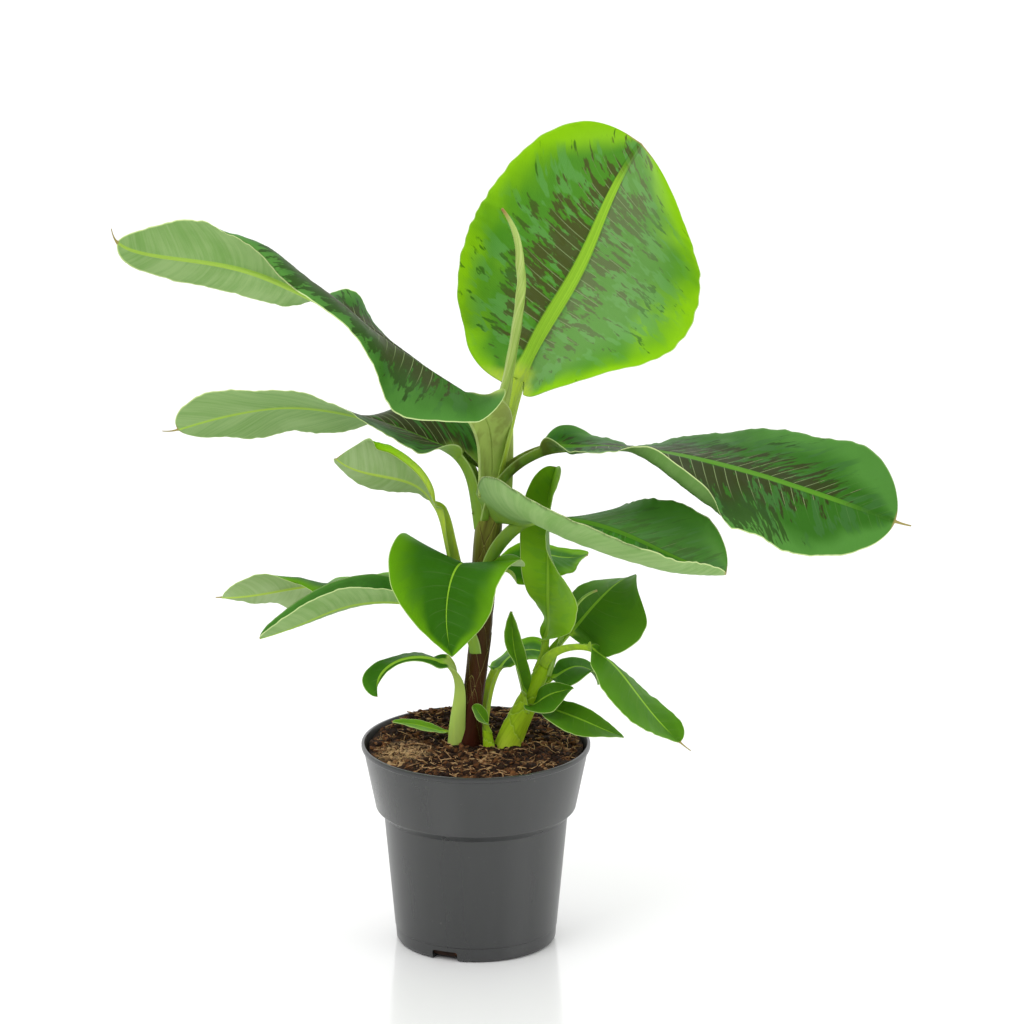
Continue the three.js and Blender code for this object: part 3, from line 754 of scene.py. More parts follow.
@dataclass
class BananaLeaf:
    """One open leaf: a channelled stalk that runs out into a blade, and on some a dried thread at its tip.

    Pairs and pairs of stations are for the left side and the right side of the midrib, seen towards the tip.

    Attributes:
        stalk: Share of the axis that is stalk.
        width, blunt: Widest half-widths, and how blunt the blade's base and tip are.
        fold, curl: Lift of the blade at the midrib, and what is added to it out to the margin.
        stalk_width, stalk_fold: Half-widths at both ends of the stalk, and the lift of its two flanges.
        midrib: Half-width of the midrib at the blade's base.
        tone, ripple: Brightness of the ground and strength of the waves.
        lobe: How far the base's margin reaches back along the stalk.
        turned: Stretches of margin that are turned over.
        blotch: Darkness of the blotches.
        cover, thinning: Their spread at stations along the blade, and how much less it is at the margin.
        painted_sheen: Share of the painted sheen on each side, a pale colour that stands in for light reflected off
            the blade.
        slant, lean: Slope of the side veins at the base, and their sweep towards the tip.
        tint_reach: Share of the blade that the stalk's colour runs into.
        rib_shown: Share of the midrib's width that is bright.
        pale_stalk, brown_stalk: Shares of the stalk's pale sheath colour and of its brown patches.
        margin_shown: Strength of the pale margin line.
        under_greened: How much greener the underside is.
        run_out: Share of the blade over which the stalk's channel flattens.
        tail, tail_hook: Length of the dried thread, and the most that it turns aside.
        tip_half_width, tail_half_width: Half-widths of the blade's tip and of the thread's end.
        blade_half, margin_half: Half the blade's thickness at the midrib and at the margin.
        rib_taper: Share of the midrib's width that is left at the tip.
        groove: Depth of the groove over the midrib, as a share of the ridge under it.
        outline_waver: Share by which the outline's width wavers.
        sway_lengths, crimp_lengths: Wavelengths of the margin's long and short waves.
        crimp: Strength of the short waves against the long ones.
        quilt_pitch, quilt: Pitch and strength of the soft quilting that follows the side veins.
        calm_tip: Share of the blade at its tip over which the waves die out.
        crowding: How much closer the columns stand near the midrib, 1 for even spacing.
    """

    node: str
    family: LeafFamily
    axis: GrowthAxis
    stalk: float
    width: Pair
    blunt: Pair
    fold: tuple[Stations, Stations]
    stalk_width: Pair
    stalk_fold: Pair
    detail: Detail
    midrib: float
    tone: float
    ripple: float
    blotch: float = 0.0
    curl: tuple[Stations, Stations] = ((0,), (0,))
    lobe: Pair = (0, 0)
    turned: tuple[TurnedMargin, ...] = ()
    cover: tuple[Stations, Stations] = ((0.06,), (0.06,))
    thinning: Pair = (0.24, 0.24)
    painted_sheen: Pair = (0.0, 0.0)
    lean: Pair = (1.0, 1.0)
    slant: Pair = (0.04, 0.04)
    tint_reach: float = 0.0
    rib_shown: float = 1.0
    pale_stalk: float = 0.0
    brown_stalk: float = 0.0
    margin_shown: Pair = (1.0, 1.0)
    under_greened: float = 0.0
    run_out: float = 0.12
    tail: float = 0
    tip_half_width: float = 1.2
    tail_half_width: float = 0.34
    margin_half: float = 0.22
    blade_half: float = 0.45
    tail_hook: float = 35
    tail_sections: int = 10
    sway_lengths: Stations = (38, 27, 61)
    crimp_lengths: Stations = (7.5, 11, 15)
    crimp: float = 0.55
    quilt_pitch: float = 8.5
    quilt: float = 0.5
    outline_waver: float = 0.008
    rib_taper: float = 0.28
    groove: float = 0.35
    calm_tip: float = 0.08
    crowding: float = 1.3

    def seed(self) -> int:
        """Give the leaf's own seed, from its name."""
        return sum(ord(letter) * (k + 1) for k, letter in enumerate(self.node)) % 1000

    def places(self) -> np.ndarray:
        """Give the sections' places, closer together at both ends of the blade.

        Returns:
            Places on the axis, 0 to 1.
        """
        stalk_sections, blade_sections, _ = self.detail.value
        stalk = np.linspace(0, self.stalk, stalk_sections, endpoint=False)
        eased = (1 - np.cos(np.linspace(0, np.pi, blade_sections + 1))) / 2
        blade = lerp(np.linspace(0, 1, len(eased)), eased, 0.7)
        return np.concatenate([stalk, self.stalk + (1 - self.stalk) * blade])

    def outline(self, t: np.ndarray) -> np.ndarray:
        """Give the blade's outline.

        Args:
            t: Places on the blade, 0 to 1.

        Returns:
            Shares of the widest half-width.
        """
        base, tip = self.blunt
        widest = base / (base + tip)
        return (t / widest) ** base * ((1 - t) / (1 - widest)) ** tip

    def half_widths(self, s: np.ndarray, t: np.ndarray, side: int) -> np.ndarray:
        """Give one side's half-width.

        Args:
            s: Places on the axis.
            t: The same places on the blade.
            side: 0 for the left side and 1 for the right.

        Returns:
            Half-widths in millimetres.
        """
        waver = 1 + self.outline_waver * ripple(t * self.axis.length, (31, 17), self.seed() + side)
        blade = self.width[side] * self.outline(t) * waver
        stalk = along(self.stalk_width, s / self.stalk) * (1 - t) ** 2
        return (np.maximum(blade, self.tip_half_width) ** 6 + stalk**6) ** (1 / 6)

    def half_section(self, s: np.ndarray, side: int) -> HalfSection:
        """Work out one side of every section, from the midrib out to the margin.

        Args:
            s: Places of the sections.
            side: 0 for the left side and 1 for the right.

        Returns:
            Arrays with a row for each section and a column for each step out.
        """
        u = (np.linspace(0, 1, self.detail.value[2] + 1) ** self.crowding)[None, :]
        t = np.clip((s - self.stalk) / (1 - self.stalk), 0, 1)[:, None]
        share = 1 - smoothstep(t, 0, self.run_out)
        width = self.half_widths(s, t[:, 0], side)[:, None]
        fold = along(self.fold[side], t) + along(self.curl[side], t) * u
        fold = fold + sum(margin.bend(t, u) for margin in self.turned if margin.side == side)
        turn = np.radians(lerp(fold, self.stalk_fold[side] * (0.3 + 1.4 * u), share))
        middle = (turn[:, 1:] + turn[:, :-1]) / 2
        step = width * np.diff(u)
        start = np.zeros((len(s), 1))
        out = np.hstack([start, np.cumsum(np.cos(middle) * step, axis=1)])
        rise = np.hstack([start, np.cumsum(np.sin(middle) * step, axis=1)])
        across = width * u
        reach_along = t * self.axis.length * (1 - self.stalk)
        lean = self.lean[side]
        slope = self.slant[side] + 0.60 * lean * t**2
        vein = reach_along - across * slope - 0.20 * lean * across * u * (0.3 + t)
        rib_half = self.midrib * lerp(1.0, self.rib_taper, t) + share * 2
        hump = np.exp(-((across / rib_half) ** 2) * 1.2)
        rib_depth = (self.axis.length / 90 * (1 - t) + 0.25) * (1 - share)
        blade_half = lerp(self.blade_half, self.margin_half, u)
        stalk_half = self.stalk_width[1] * 0.25 * (1 - 0.8 * u)
        half = lerp(blade_half, stalk_half, share)
        sway = ripple(reach_along, self.sway_lengths, self.seed() + 3 + side) * u**3
        crimp = ripple(reach_along, self.crimp_lengths, self.seed() + 5 + side) * u**6 * self.crimp
        quilt = np.sin(2 * np.pi * vein / self.quilt_pitch) * u * (1 - u) * self.quilt
        wave = ((sway + crimp) * self.ripple + quilt) * (1 - share) * smoothstep(1 - t, 0, self.calm_tip)
        lobe = self.lobe[side] * (1 - t) ** 4 * u**2 * (s > self.stalk)[:, None]
        return {"out": out, "rise": rise, "turn": turn, "back": lobe,
                "upper": half + wave - self.groove * rib_depth * hump, "lower": half - wave + rib_depth * hump,
                "across": across, "vein": vein, "edge": width - across, "rib": across / rib_half,
                "reach": u + 0 * across, "t": t + 0 * across, "share": share + 0 * across}

    def build(self, finishes: dict[LeafFamily, tuple[bpy.types.Material, bpy.types.Material]]) -> bpy.types.Object:
        """Build and dress the leaf.

        Args:
            finishes: Upper and underside materials of each family.

        Returns:
            The leaf's object.
        """
        s = self.places()
        origin = self.axis.points(s)
        directions = self.axis.directions(s)
        halves = [self.half_section(s, side) for side in (0, 1)]
        if self.tail:
            origin, directions = self.with_tail(origin, directions, halves)
        forward, left, face = directions
        steps = self.detail.value[2]
        columns: list[np.ndarray] = []
        facts: list[np.ndarray] = []

        def column(side: int, j: int, lift: float) -> None:
            """Add the points of one column.

            Args:
                side: 0 for the left side and 1 for the right.
                j: Step out from the midrib.
                lift: 1 on the upper face, -1 on the underside, 0 on the margin's edge.
            """
            h = {key: value[:, j] for key, value in halves[side].items()}
            sign = 1 - 2 * side
            height = h["upper"] if lift > 0 else -h["lower"] if lift < 0 else (h["upper"] - h["lower"]) / 2
            reach = h["out"] + (0 if lift else self.margin_half)
            turn = h["turn"] if j else 0 * h["turn"]
            point = origin + left * (sign * (reach - height * np.sin(turn)))[:, None]
            point = point + face * (h["rise"] + height * np.cos(turn))[:, None] - forward * h["back"][:, None]
            columns.append(point)
            edge = h["edge"] if lift else 0 * h["edge"]
            numbers = [h["across"] * sign, h["vein"], edge, h["reach"], h["t"], h["share"], h["rib"]]
            facts.append(np.stack(numbers, axis=-1))

        column(0, steps, 0)
        for j in range(steps, 0, -1):
            column(0, j, 1)
        for j in range(steps + 1):
            column(1, j, 1)
        column(1, steps, 0)
        for j in range(steps, 0, -1):
            column(1, j, -1)
        for j in range(steps + 1):
            column(0, j, -1)
        points = np.stack(columns, axis=1)
        fact = np.stack(facts, axis=1).reshape(-1, 7)
        return self.assemble(points, fact, finishes[self.family])

    def with_tail(self, origin: np.ndarray, directions: tuple[np.ndarray, ...],
                  halves: list[HalfSection]) -> tuple[np.ndarray, tuple[np.ndarray, ...]]:
        """Add the sections of the dried thread at the tip, which hooks a little.

        Args:
            origin: Points of the midrib.
            directions: Directions forward, to the left and out of the upper face.
            halves: The two half sections, which are made longer in place.

        Returns:
            The points and the directions, longer by the thread.
        """
        forward, left, face = directions
        count = self.tail_sections
        share = (np.arange(count) + 1) / count
        hook = np.radians(self.tail_hook * share * math.sin(self.seed()))[:, None]
        heading = forward[-1] * np.cos(hook) + left[-1] * np.sin(hook)
        points = origin[-1] + np.cumsum(heading, axis=0) * (self.tail / count)
        size = lerp(1.0, self.tail_half_width / self.tip_half_width, np.sqrt(share))[:, None]
        for half in halves:
            last = {key: np.repeat(value[-1:], count, axis=0) for key, value in half.items()}
            for key in ("out", "rise", "across", "edge"):
                last[key] = last[key] * size
            round_off = np.sqrt(np.clip(1 - last["reach"] ** 2, 0.1, 1)) * self.tail_half_width
            last["upper"] = last["lower"] = lerp(last["upper"], round_off, share[:, None])
            last["t"] = 1 + share[:, None] + 0 * last["t"]
            for key in half:
                half[key] = np.vstack([half[key], last[key]])
        held = [np.vstack([rows, np.repeat(rows[-1:], count, axis=0)]) for rows in (left, face)]
        return np.vstack([origin, points]), (np.vstack([forward, heading]), *held)

    def assemble(self, points: np.ndarray, fact: np.ndarray,
                 materials: tuple[bpy.types.Material, bpy.types.Material]) -> bpy.types.Object:
        """Join the rings of points into the leaf's closed mesh.

        Args:
            points: Section, column and coordinate.
            fact: For each point, the numbers that its materials read.
            materials: Upper and underside materials.

        Returns:
            The leaf's object.
        """
        sections, count = points.shape[:2]
        half = count // 2
        faces = ring_quads(sections, count).tolist()
        sides = np.tile((np.arange(count) >= half).astype(int), sections - 1).tolist()
        for start, flip in ((0, True), ((sections - 1) * count, False)):
            for j in range(half):
                corners = [start + j, start + j + 1, start + count - j - 1, start + (count - j) % count]
                corners = list(dict.fromkeys(corners))
                faces.append(corners[::-1] if flip else corners)
                sides.append(0)
        piece = make_object(f"{self.node}_blade", points.reshape(-1, 3), faces, materials, sides, self.dress(fact))
        seat(piece, self.family.value, self.node)
        return piece

    def dress(self, fact: np.ndarray) -> dict[str, np.ndarray]:
        """Work out the attributes that the leaf's materials read.

        Args:
            fact: For each point: across, vein, edge, reach, place on the blade, stalk's share and midrib.

        Returns:
            The attributes, by name.
        """
        across, _, _, reach, t, stalk, rib = fact.T
        left, t, same = across >= 0, np.clip(t, 0, 1), np.ones(len(fact))
        cover = np.where(left, along(self.cover[0], t), along(self.cover[1], t))
        cover = cover - reach * np.where(left, *self.thinning)
        near_rib = lerp(1.0, 1 - smoothstep(reach, 0.12, 0.5), smoothstep(t, 0, 0.03))
        tint = smoothstep(stalk, 0.3, 0.95) * near_rib
        if self.tint_reach:
            tint = np.maximum(tint, 1 - smoothstep(t, 0.25 * self.tint_reach, self.tint_reach))
        rows = {
            "leaf_looks": (rib, same * self.blotch, same * self.tone),
            "leaf_seed": (same * self.seed() / 10.0, same * self.pale_stalk, same * self.brown_stalk),
            "leaf_cover": (cover, np.where(left, *self.painted_sheen), same * self.rib_shown),
            "leaf_tint": (tint, np.where(left, *self.margin_shown), same * self.under_greened),
        }
        attributes = {name: np.stack(numbers, axis=-1) for name, numbers in rows.items()}
        return {"leaf_place": fact[:, :3], "leaf_share": fact[:, 3:6], **attributes}


@dataclass(frozen=True)
class Sheath:
    """One leaf sheath round a stem: it ends highest where its stalk leaves and its margins sink round the stem.

    Attributes:
        azimuth: Heading of its stalk.
        top: Height along the stem where its stalk leaves.
        drop: How far its margin has sunk on the far side.
        thickness: Height of the step at its margin.
    """

    azimuth: float
    top: float
    drop: float = 85
    thickness: float = 0.45


@dataclass(frozen=True)
class StemFinish:
    """Colours of a stem of leaf sheaths, by height, of its dark streaks and painted shadow lines, and of the
    sheaths' dry margins.
    """

    name: str
    heights: tuple[tuple[float, Colour], ...]
    shade: Colour
    margin: Colour

    def material(self) -> bpy.types.Material:
        """Make the material: long fibres, height colours, dark streaks, pale sheath margins and a painted shadow
        just above each margin.

        Returns:
            The material.
        """
        shader = Shader(self.name)
        round_mm, height, edge = shader.attribute("stem_place")
        fibre = shader.noise(shader.combine(round_mm, shader.times(height, 5.0)), 0.55, 4.0, 0.6)
        broad = shader.noise(shader.combine(round_mm, shader.times(height, 14.0), 3.0), 0.10, 2.0)
        level = shader.add(height, shader.times(shader.math("SUBTRACT", broad, 0.5), 0.35))
        colour = shader.ramp(level, self.heights)
        colour = shader.mix(shader.ease(fibre, 0.42, 0.72, (0.0, 0.55)), colour, self.shade)
        dry_line = shader.times(shader.ease(edge, 0.35, 1.0, (0.45, 0.0)), shader.ease(edge, -0.3, 0.0))
        colour = shader.mix(dry_line, colour, self.margin)
        # Painted shadow: the shade colour laid in a band just above each sheath's margin, where the step meets the
        # layer inside it.
        outside = shader.times(shader.ease(edge, -3.5, -0.3), shader.ease(edge, -0.3, 0.1, (0.6, 0.0)))
        colour = shader.mix(outside, colour, self.shade)
        shader.bump(fibre, 0.25, 0.8)
        return shader.finish(colour, shader.ease(fibre, 0.3, 0.7, (0.38, 0.52)), 0.08)


@dataclass
class SheathStem:
    """A stem built of overlapping leaf sheaths, each a thin step that ends in a slanting margin.

    Attributes:
        radius: Radii at even stations, where all the sheaths lie over one another.
        far_from_margin: Distance that counts as far from every margin.
        margin_waver, fluting: Heights of the margins' waver and of the flutes along the stem.
    """

    node: str
    slot: str
    axis: GrowthAxis
    radius: Stations
    sheaths: tuple[Sheath, ...]
    finish: StemFinish
    sides: int = 96
    sections: int = 240
    far_from_margin: float = 40.0
    margin_waver: float = 1.2
    fluting: float = 0.12

    def build(self) -> bpy.types.Object:
        """Build and dress the stem.

        Returns:
            The stem's object.
        """
        s = np.linspace(0, 1, self.sections + 1)
        angle = 2 * np.pi * np.arange(self.sides) / self.sides
        _, left, face = self.axis.directions(s)
        origin = self.axis.points(s)
        height = (s * self.axis.length)[:, None]
        full = sum(sheath.thickness for sheath in self.sheaths)
        radius = along(self.radius, s)[:, None] - full + 0 * angle
        nearest = np.full(radius.shape, self.far_from_margin)
        wrapped = np.arctan2(np.sin(angle), np.cos(angle))[None, :, None]
        heading = left[:, None, :] * np.cos(wrapped) + face[:, None, :] * np.sin(wrapped)
        azimuth = np.arctan2(heading[..., 1], heading[..., 0])
        for k, sheath in enumerate(self.sheaths):
            off = np.abs(np.angle(np.exp(1j * (azimuth - math.radians(sheath.azimuth))))) / np.pi
            edge = sheath.top - sheath.drop * off**1.2 + self.margin_waver * ripple(azimuth * 9, (7, 4.1), k)
            inside = edge - height
            radius = radius + sheath.thickness * smoothstep(inside, -0.4, 0.6)
            nearest = np.where(np.abs(inside) < np.abs(nearest), inside, nearest)
        radius = radius + self.fluting * ripple(angle * 9, (1.7, 2.9, 4.3), 11)[None, :]
        points = origin[:, None, :] + heading * radius[..., None]
        points[0, :, 2] = origin[0, 2]
        ring = points.reshape(-1, 3)
        points = np.vstack([ring, origin[:1], origin[-1:]])
        place = np.stack([radius * angle, height / self.axis.length + 0 * radius, nearest], axis=-1).reshape(-1, 3)
        place = np.vstack([place, place[:1], place[-1:]])
        piece = make_object(f"{self.node}_sheaths", points, loft_faces(len(s), self.sides),
                            [self.finish.material()], attributes={"stem_place": place})
        seat(piece, self.slot, self.node)
        return piece


@dataclass(frozen=True)
class RolledFinish:
    """Colours of a leaf that is still rolled up."""

    name: str
    pale: Colour
    green: Colour
    seam: Colour
    tip: Colour

    def material(self) -> bpy.types.Material:
        """Make the material: long pale and green streaks, a darker seam and a dried tip.

        Returns:
            The material.
        """
        shader = Shader(self.name)
        round_mm, height, seam = shader.attribute("stem_place")
        streak = shader.noise(shader.combine(round_mm, shader.times(height, 3.0)), 0.35, 3.0, 0.6)
        colour = shader.mix(shader.ease(streak, 0.35, 0.65), self.pale, self.green)
        colour = shader.mix(shader.ease(seam, 0.0, 0.9, (0.75, 0.0)), colour, self.seam)
        colour = shader.mix(shader.ease(height, 0.93, 1.0), colour, self.tip)
        shader.bump(streak, 0.2, 0.8)
        return shader.finish(colour, shader.ease(streak, 0.3, 0.7, (0.42, 0.55)), 0.4)


@dataclass
class RolledLeaf:
    """A leaf still rolled into a spear or thread: a scroll section with one slowly turning overlap.

    Attributes:
        radius: Radii at even stations.
        seam_azimuth, seam_turn: Where the overlap's edge runs at the root, and how far it turns up to the tip.
        set_back, set_back_reach: How far the root stands back, and the share of the axis that follows it.
        overlap: Step between the scroll's inner and outer edge, as a share of the radius.
        closing: Share of a full turn from one edge of the scroll to the other.
        uneven, flats: Strengths of the uneven girth along the leaf and of the three flats round it.
    """

    node: str
    axis: GrowthAxis
    radius: Stations
    seam_azimuth: float
    seam_turn: float
    finish: RolledFinish
    set_back: float = 0.0
    set_back_reach: float = 0.3
    overlap: float = 0.16
    closing: float = 0.985
    uneven: float = 0.06
    flats: float = 0.10
    sides: int = 40
    sections: int = 160

    def build(self) -> bpy.types.Object:
        """Build and dress the rolled leaf.

        Returns:
            The leaf's object.
        """
        s = np.linspace(0, 1, self.sections + 1)
        _, left, face = self.axis.directions(s)
        origin = self.axis.points(s)
        origin[:, 1] += self.set_back * (1 - smoothstep(s, 0, self.set_back_reach))
        around = (np.arange(self.sides) / (self.sides - 1))[None, :]
        angle = np.radians(self.seam_azimuth + self.seam_turn * s)[:, None] + 2 * np.pi * around * self.closing
        size = along(self.radius, s)[:, None]
        waver = 1 + self.uneven * ripple(s[:, None] * self.axis.length, (23, 41), 5)
        radius = size * (1 - self.overlap * (1 - around)) * waver
        radius = radius * (1 - self.flats * np.cos(3 * angle))
        points = origin[:, None, :] + left[:, None, :] * (radius * np.cos(angle))[..., None]
        points = points + face[:, None, :] * (radius * np.sin(angle))[..., None]
        points = np.vstack([points.reshape(-1, 3), origin[:1], origin[-1:]])
        girth = 2 * np.pi * size
        place = np.stack([around * girth, s[:, None] + 0 * radius, (1 - around) * girth], axis=-1).reshape(-1, 3)
        place = np.vstack([place, place[:1], place[-1:]])
        piece = make_object(f"{self.node}_scroll", points, loft_faces(len(s), self.sides),
                            [self.finish.material()], attributes={"stem_place": place})
        seat(piece, "rolled_leaf", self.node)
        return piece


@dataclass(frozen=True)
class PotFinish:
    """Moulded grey plastic: a fine grain, faint flow marks and dust specks."""

    grey: Colour = (0.019, 0.0205, 0.021)
    worn: Colour = (0.033, 0.035, 0.036)
    dust: Colour = (0.110, 0.106, 0.100)

    def material(self) -> bpy.types.Material:
        """Make the pot's material.

        Returns:
            The material.
        """
        shader = Shader("pot_plastic_grey")
        flow = shader.noise(shader.place((1.0, 1.0, 0.12)), 38.0, 3.0, 0.6)
        grain = shader.noise(shader.place(), 1500.0, 2.0)
        specks = shader.noise(shader.place(), 260.0, 4.0, 0.7)
        colour = shader.mix(shader.ease(flow, 0.35, 0.7, (0.0, 0.35)), self.grey, self.worn)
        colour = shader.mix(shader.ease(specks, 0.66, 0.72, (0.0, 0.35)), colour, self.dust)
        shader.bump(shader.add(grain, shader.times(flow, 0.6)), 0.06, 0.7)
        return shader.finish(colour, shader.ease(flow, 0.3, 0.7, (0.26, 0.34)), 0.75)


@dataclass
class NurseryPot:
    """The turned plastic pot: rim lip, collar with a step below it, tapering body and notched foot.

    Attributes:
        foot_ring: Height of the fine line round the foot.
        notch_azimuth, notch_round: Heading of the first drainage notch, and the radius of its upper corners.
        sharp_angle: Edges that turn by more than this stay crisp.
    """

    height: float = 153
    rim_radius: float = 85
    rim_lip: float = 2.5
    lip_depth: float = 4
    collar_height: float = 49
    collar_foot_radius: float = 74.5
    step_drop: float = 6
    body_top_radius: float = 68.5
    base_radius: float = 59.5
    base_round: float = 3
    wall: float = 1.6
    floor: float = 2
    foot_ring: float = 11
    segments: int = 256
    notch_count: int = 3
    notch_width: float = 20
    notch_height: float = 7.5
    notch_depth: float = 18
    notch_azimuth: float = 247
    notch_round: float = 2.2
    sharp_angle: float = 38

    def profile(self) -> list[tuple[float, float]]:
        """Give the wall's outline, from the middle of the underside round to the floor.

        Returns:
            Radius and height of each corner.
        """
        collar_foot = self.height - self.collar_height
        body_top = collar_foot - self.step_drop
        lip_foot = self.height - self.lip_depth
        taper = (self.body_top_radius - self.base_radius) / (body_top - self.base_round)
        ring = self.base_radius + taper * (self.foot_ring - self.base_round)
        neck = self.rim_radius - self.rim_lip * 0.6
        mouth = self.rim_radius - self.rim_lip
        foot = [(self.base_radius - self.base_round, 0)]
        foot += [(self.base_radius - self.base_round * (1 - math.sin(a)), self.base_round * (1 - math.cos(a)))
                 for a in np.radians([20, 45, 70, 90])]
        foot += [(ring - 0.25, self.foot_ring - 0.6), (ring - 0.35, self.foot_ring),
                 (ring + 0.15, self.foot_ring + 0.5)]
        step = [(self.body_top_radius - 0.35, body_top - 3), (self.body_top_radius, body_top),
                (self.body_top_radius + 0.7, body_top + 0.6),
                (self.collar_foot_radius - 1.4, collar_foot - 1.2),
                (self.collar_foot_radius - 0.45, collar_foot - 0.5), (self.collar_foot_radius, collar_foot + 0.4)]
        lip = [(neck - 0.3, lip_foot - 1.5), (neck, lip_foot - 0.4), (neck + 0.7, lip_foot),
               (self.rim_radius - 0.2, lip_foot + 0.5), (self.rim_radius, lip_foot + 1.1),
               (self.rim_radius, self.height - 1.0), (self.rim_radius - 0.3, self.height - 0.3),
               (self.rim_radius - 0.9, self.height)]
        inner = [(mouth + 0.5, self.height), (mouth, self.height - 0.6),
                 (self.collar_foot_radius - self.wall, collar_foot), (self.body_top_radius - self.wall, body_top),
                 (self.base_radius - self.wall, self.floor + self.base_round),
                 (self.base_radius - self.wall - self.base_round, self.floor)]
        return foot + step + lip + inner

    def build(self, finish: PotFinish) -> bpy.types.Object:
        """Build and dress the pot.

        Args:
            finish: The plastic's finish.

        Returns:
            The pot's object.
        """
        outline = self.profile()
        angles = 2 * np.pi * np.arange(self.segments) / self.segments
        rings = np.array([[(r * math.cos(a), r * math.sin(a), z) for a in angles] for r, z in outline])
        ends = np.array([[0, 0, 0], [0, 0, self.floor]])
        faces = loft_faces(len(outline), self.segments)
        points = np.vstack([rings.reshape(-1, 3), ends])
        pot = make_object("pot_shell", points, faces, [finish.material()])
        for index in range(self.notch_count):
            self.cut_notch(pot, math.radians(self.notch_azimuth + 360 / self.notch_count * index))
        pot.data.set_sharp_from_angle(angle=math.radians(self.sharp_angle))
        seat(pot, "pot_plastic", "pot")
        return pot

    def cut_notch(self, pot: bpy.types.Object, angle: float) -> None:
        """Cut one drainage notch with rounded upper corners into the foot.

        Args:
            pot: The pot's object.
            angle: The notch's azimuth in radians.
        """
        block = bmesh.new()
        bmesh.ops.create_cube(block, size=1)
        upper = [edge for edge in block.edges if all(corner.co.z > 0 for corner in edge.verts)]
        top = [edge for edge in upper if abs(edge.verts[0].co.x - edge.verts[1].co.x) > 0.5]
        size = (self.notch_depth * MM, self.notch_width * MM, 2 * self.notch_height * MM)
        bmesh.ops.scale(block, vec=size, verts=block.verts)
        bmesh.ops.bevel(block, geom=top, offset=self.notch_round * MM, segments=5, affect="EDGES", profile=0.5)
        bmesh.ops.translate(block, vec=(self.base_radius * MM, 0, 0), verts=block.verts)
        turn = Vector((math.cos(angle), math.sin(angle), 0))
        for corner in block.verts:
            x, y = corner.co.x, corner.co.y
            corner.co.x, corner.co.y = x * turn.x - y * turn.y, x * turn.y + y * turn.x
        mesh = bpy.data.meshes.new("notch")
        block.to_mesh(mesh)
        block.free()
        cutter = bpy.data.objects.new("notch", mesh)
        bpy.context.scene.collection.objects.link(cutter)
        cut = pot.modifiers.new("notch", "BOOLEAN")
        cut.operation, cut.object, cut.solver = "DIFFERENCE", cutter, "EXACT"
        apply_modifiers(pot)
        bpy.data.objects.remove(cutter)


def apply_modifiers(piece: bpy.types.Object) -> None:
    """Turn a piece's evaluated shape into its plain mesh and remove its modifiers.

    Args:
        piece: The piece.
    """
    graph = bpy.context.evaluated_depsgraph_get()
    graph.update()
    mesh = bpy.data.meshes.new_from_object(piece.evaluated_get(graph))
    piece.modifiers.clear()
    piece.data = mesh


@dataclass(frozen=True)
class SoilFinish:
    """Moist peat and coir: the bed, clods, bark chips and fibres.

    Attributes:
        pale_spot: Middle of the place where dry fibre lies, in metres.
        spot_reach: Distances at which it begins to fade and ends, in metres.
    """

    peat: Colour = (0.012, 0.006, 0.004)
    peat_light: Colour = (0.038, 0.015, 0.007)
    coir: Colour = (0.190, 0.076, 0.026)
    straw: Colour = (0.620, 0.400, 0.200)
    bark: Colour = (0.085, 0.036, 0.016)
    pale_spot: Point = (-0.053, -0.020, 0.151)
    spot_reach: Pair = (0.008, 0.026)

    def grains(self, name: str, dark: Colour, light: Colour, accent: Colour, scale: float) -> bpy.types.Material:
        """Make one of the soil's materials.

        Args:
            name: The material's name.
            dark: Colour in the pores.
            light: Colour of the crumbs.
            accent: Colour of a few places.
            scale: Fineness of the pattern, in features for each metre.

        Returns:
            The material.
        """
        shader = Shader(name)
        crumbs = shader.noise(shader.place(), scale, 5.0, 0.7)
        places = shader.noise(shader.place(), scale * 0.23, 3.0, 0.6)
        colour = shader.mix(shader.ease(crumbs, 0.36, 0.66), dark, light)
        colour = shader.mix(shader.ease(places, 0.52, 0.68, (0.0, 0.9)), colour, accent)
        spot = shader.ease(shader.distance(self.pale_spot), *self.spot_reach, (0.8, 0.0))
        colour = shader.mix(shader.times(spot, shader.ease(crumbs, 0.40, 0.56)), colour, self.straw)
        shader.bump(crumbs, 0.8, 1.0)
        return shader.finish(colour, 0.9, 0.2)

    def materials(self) -> dict[Crumb | None, bpy.types.Material]:
        """Make the soil's materials.

        Returns:
            The bed's material (None) and that of each kind of loose matter.
        """
        return {
            None: self.grains("peat_bed", self.peat, self.peat_light, self.coir, 420.0),
            Crumb.CLOD: self.grains("peat_clods", self.peat, self.peat_light, self.coir, 380.0),
            Crumb.CHIP: self.grains("bark_chips", self.bark, self.coir, self.straw, 210.0),
            Crumb.FIBRE: self.grains("coir_fibres", self.coir, self.straw, self.straw, 170.0),
        }


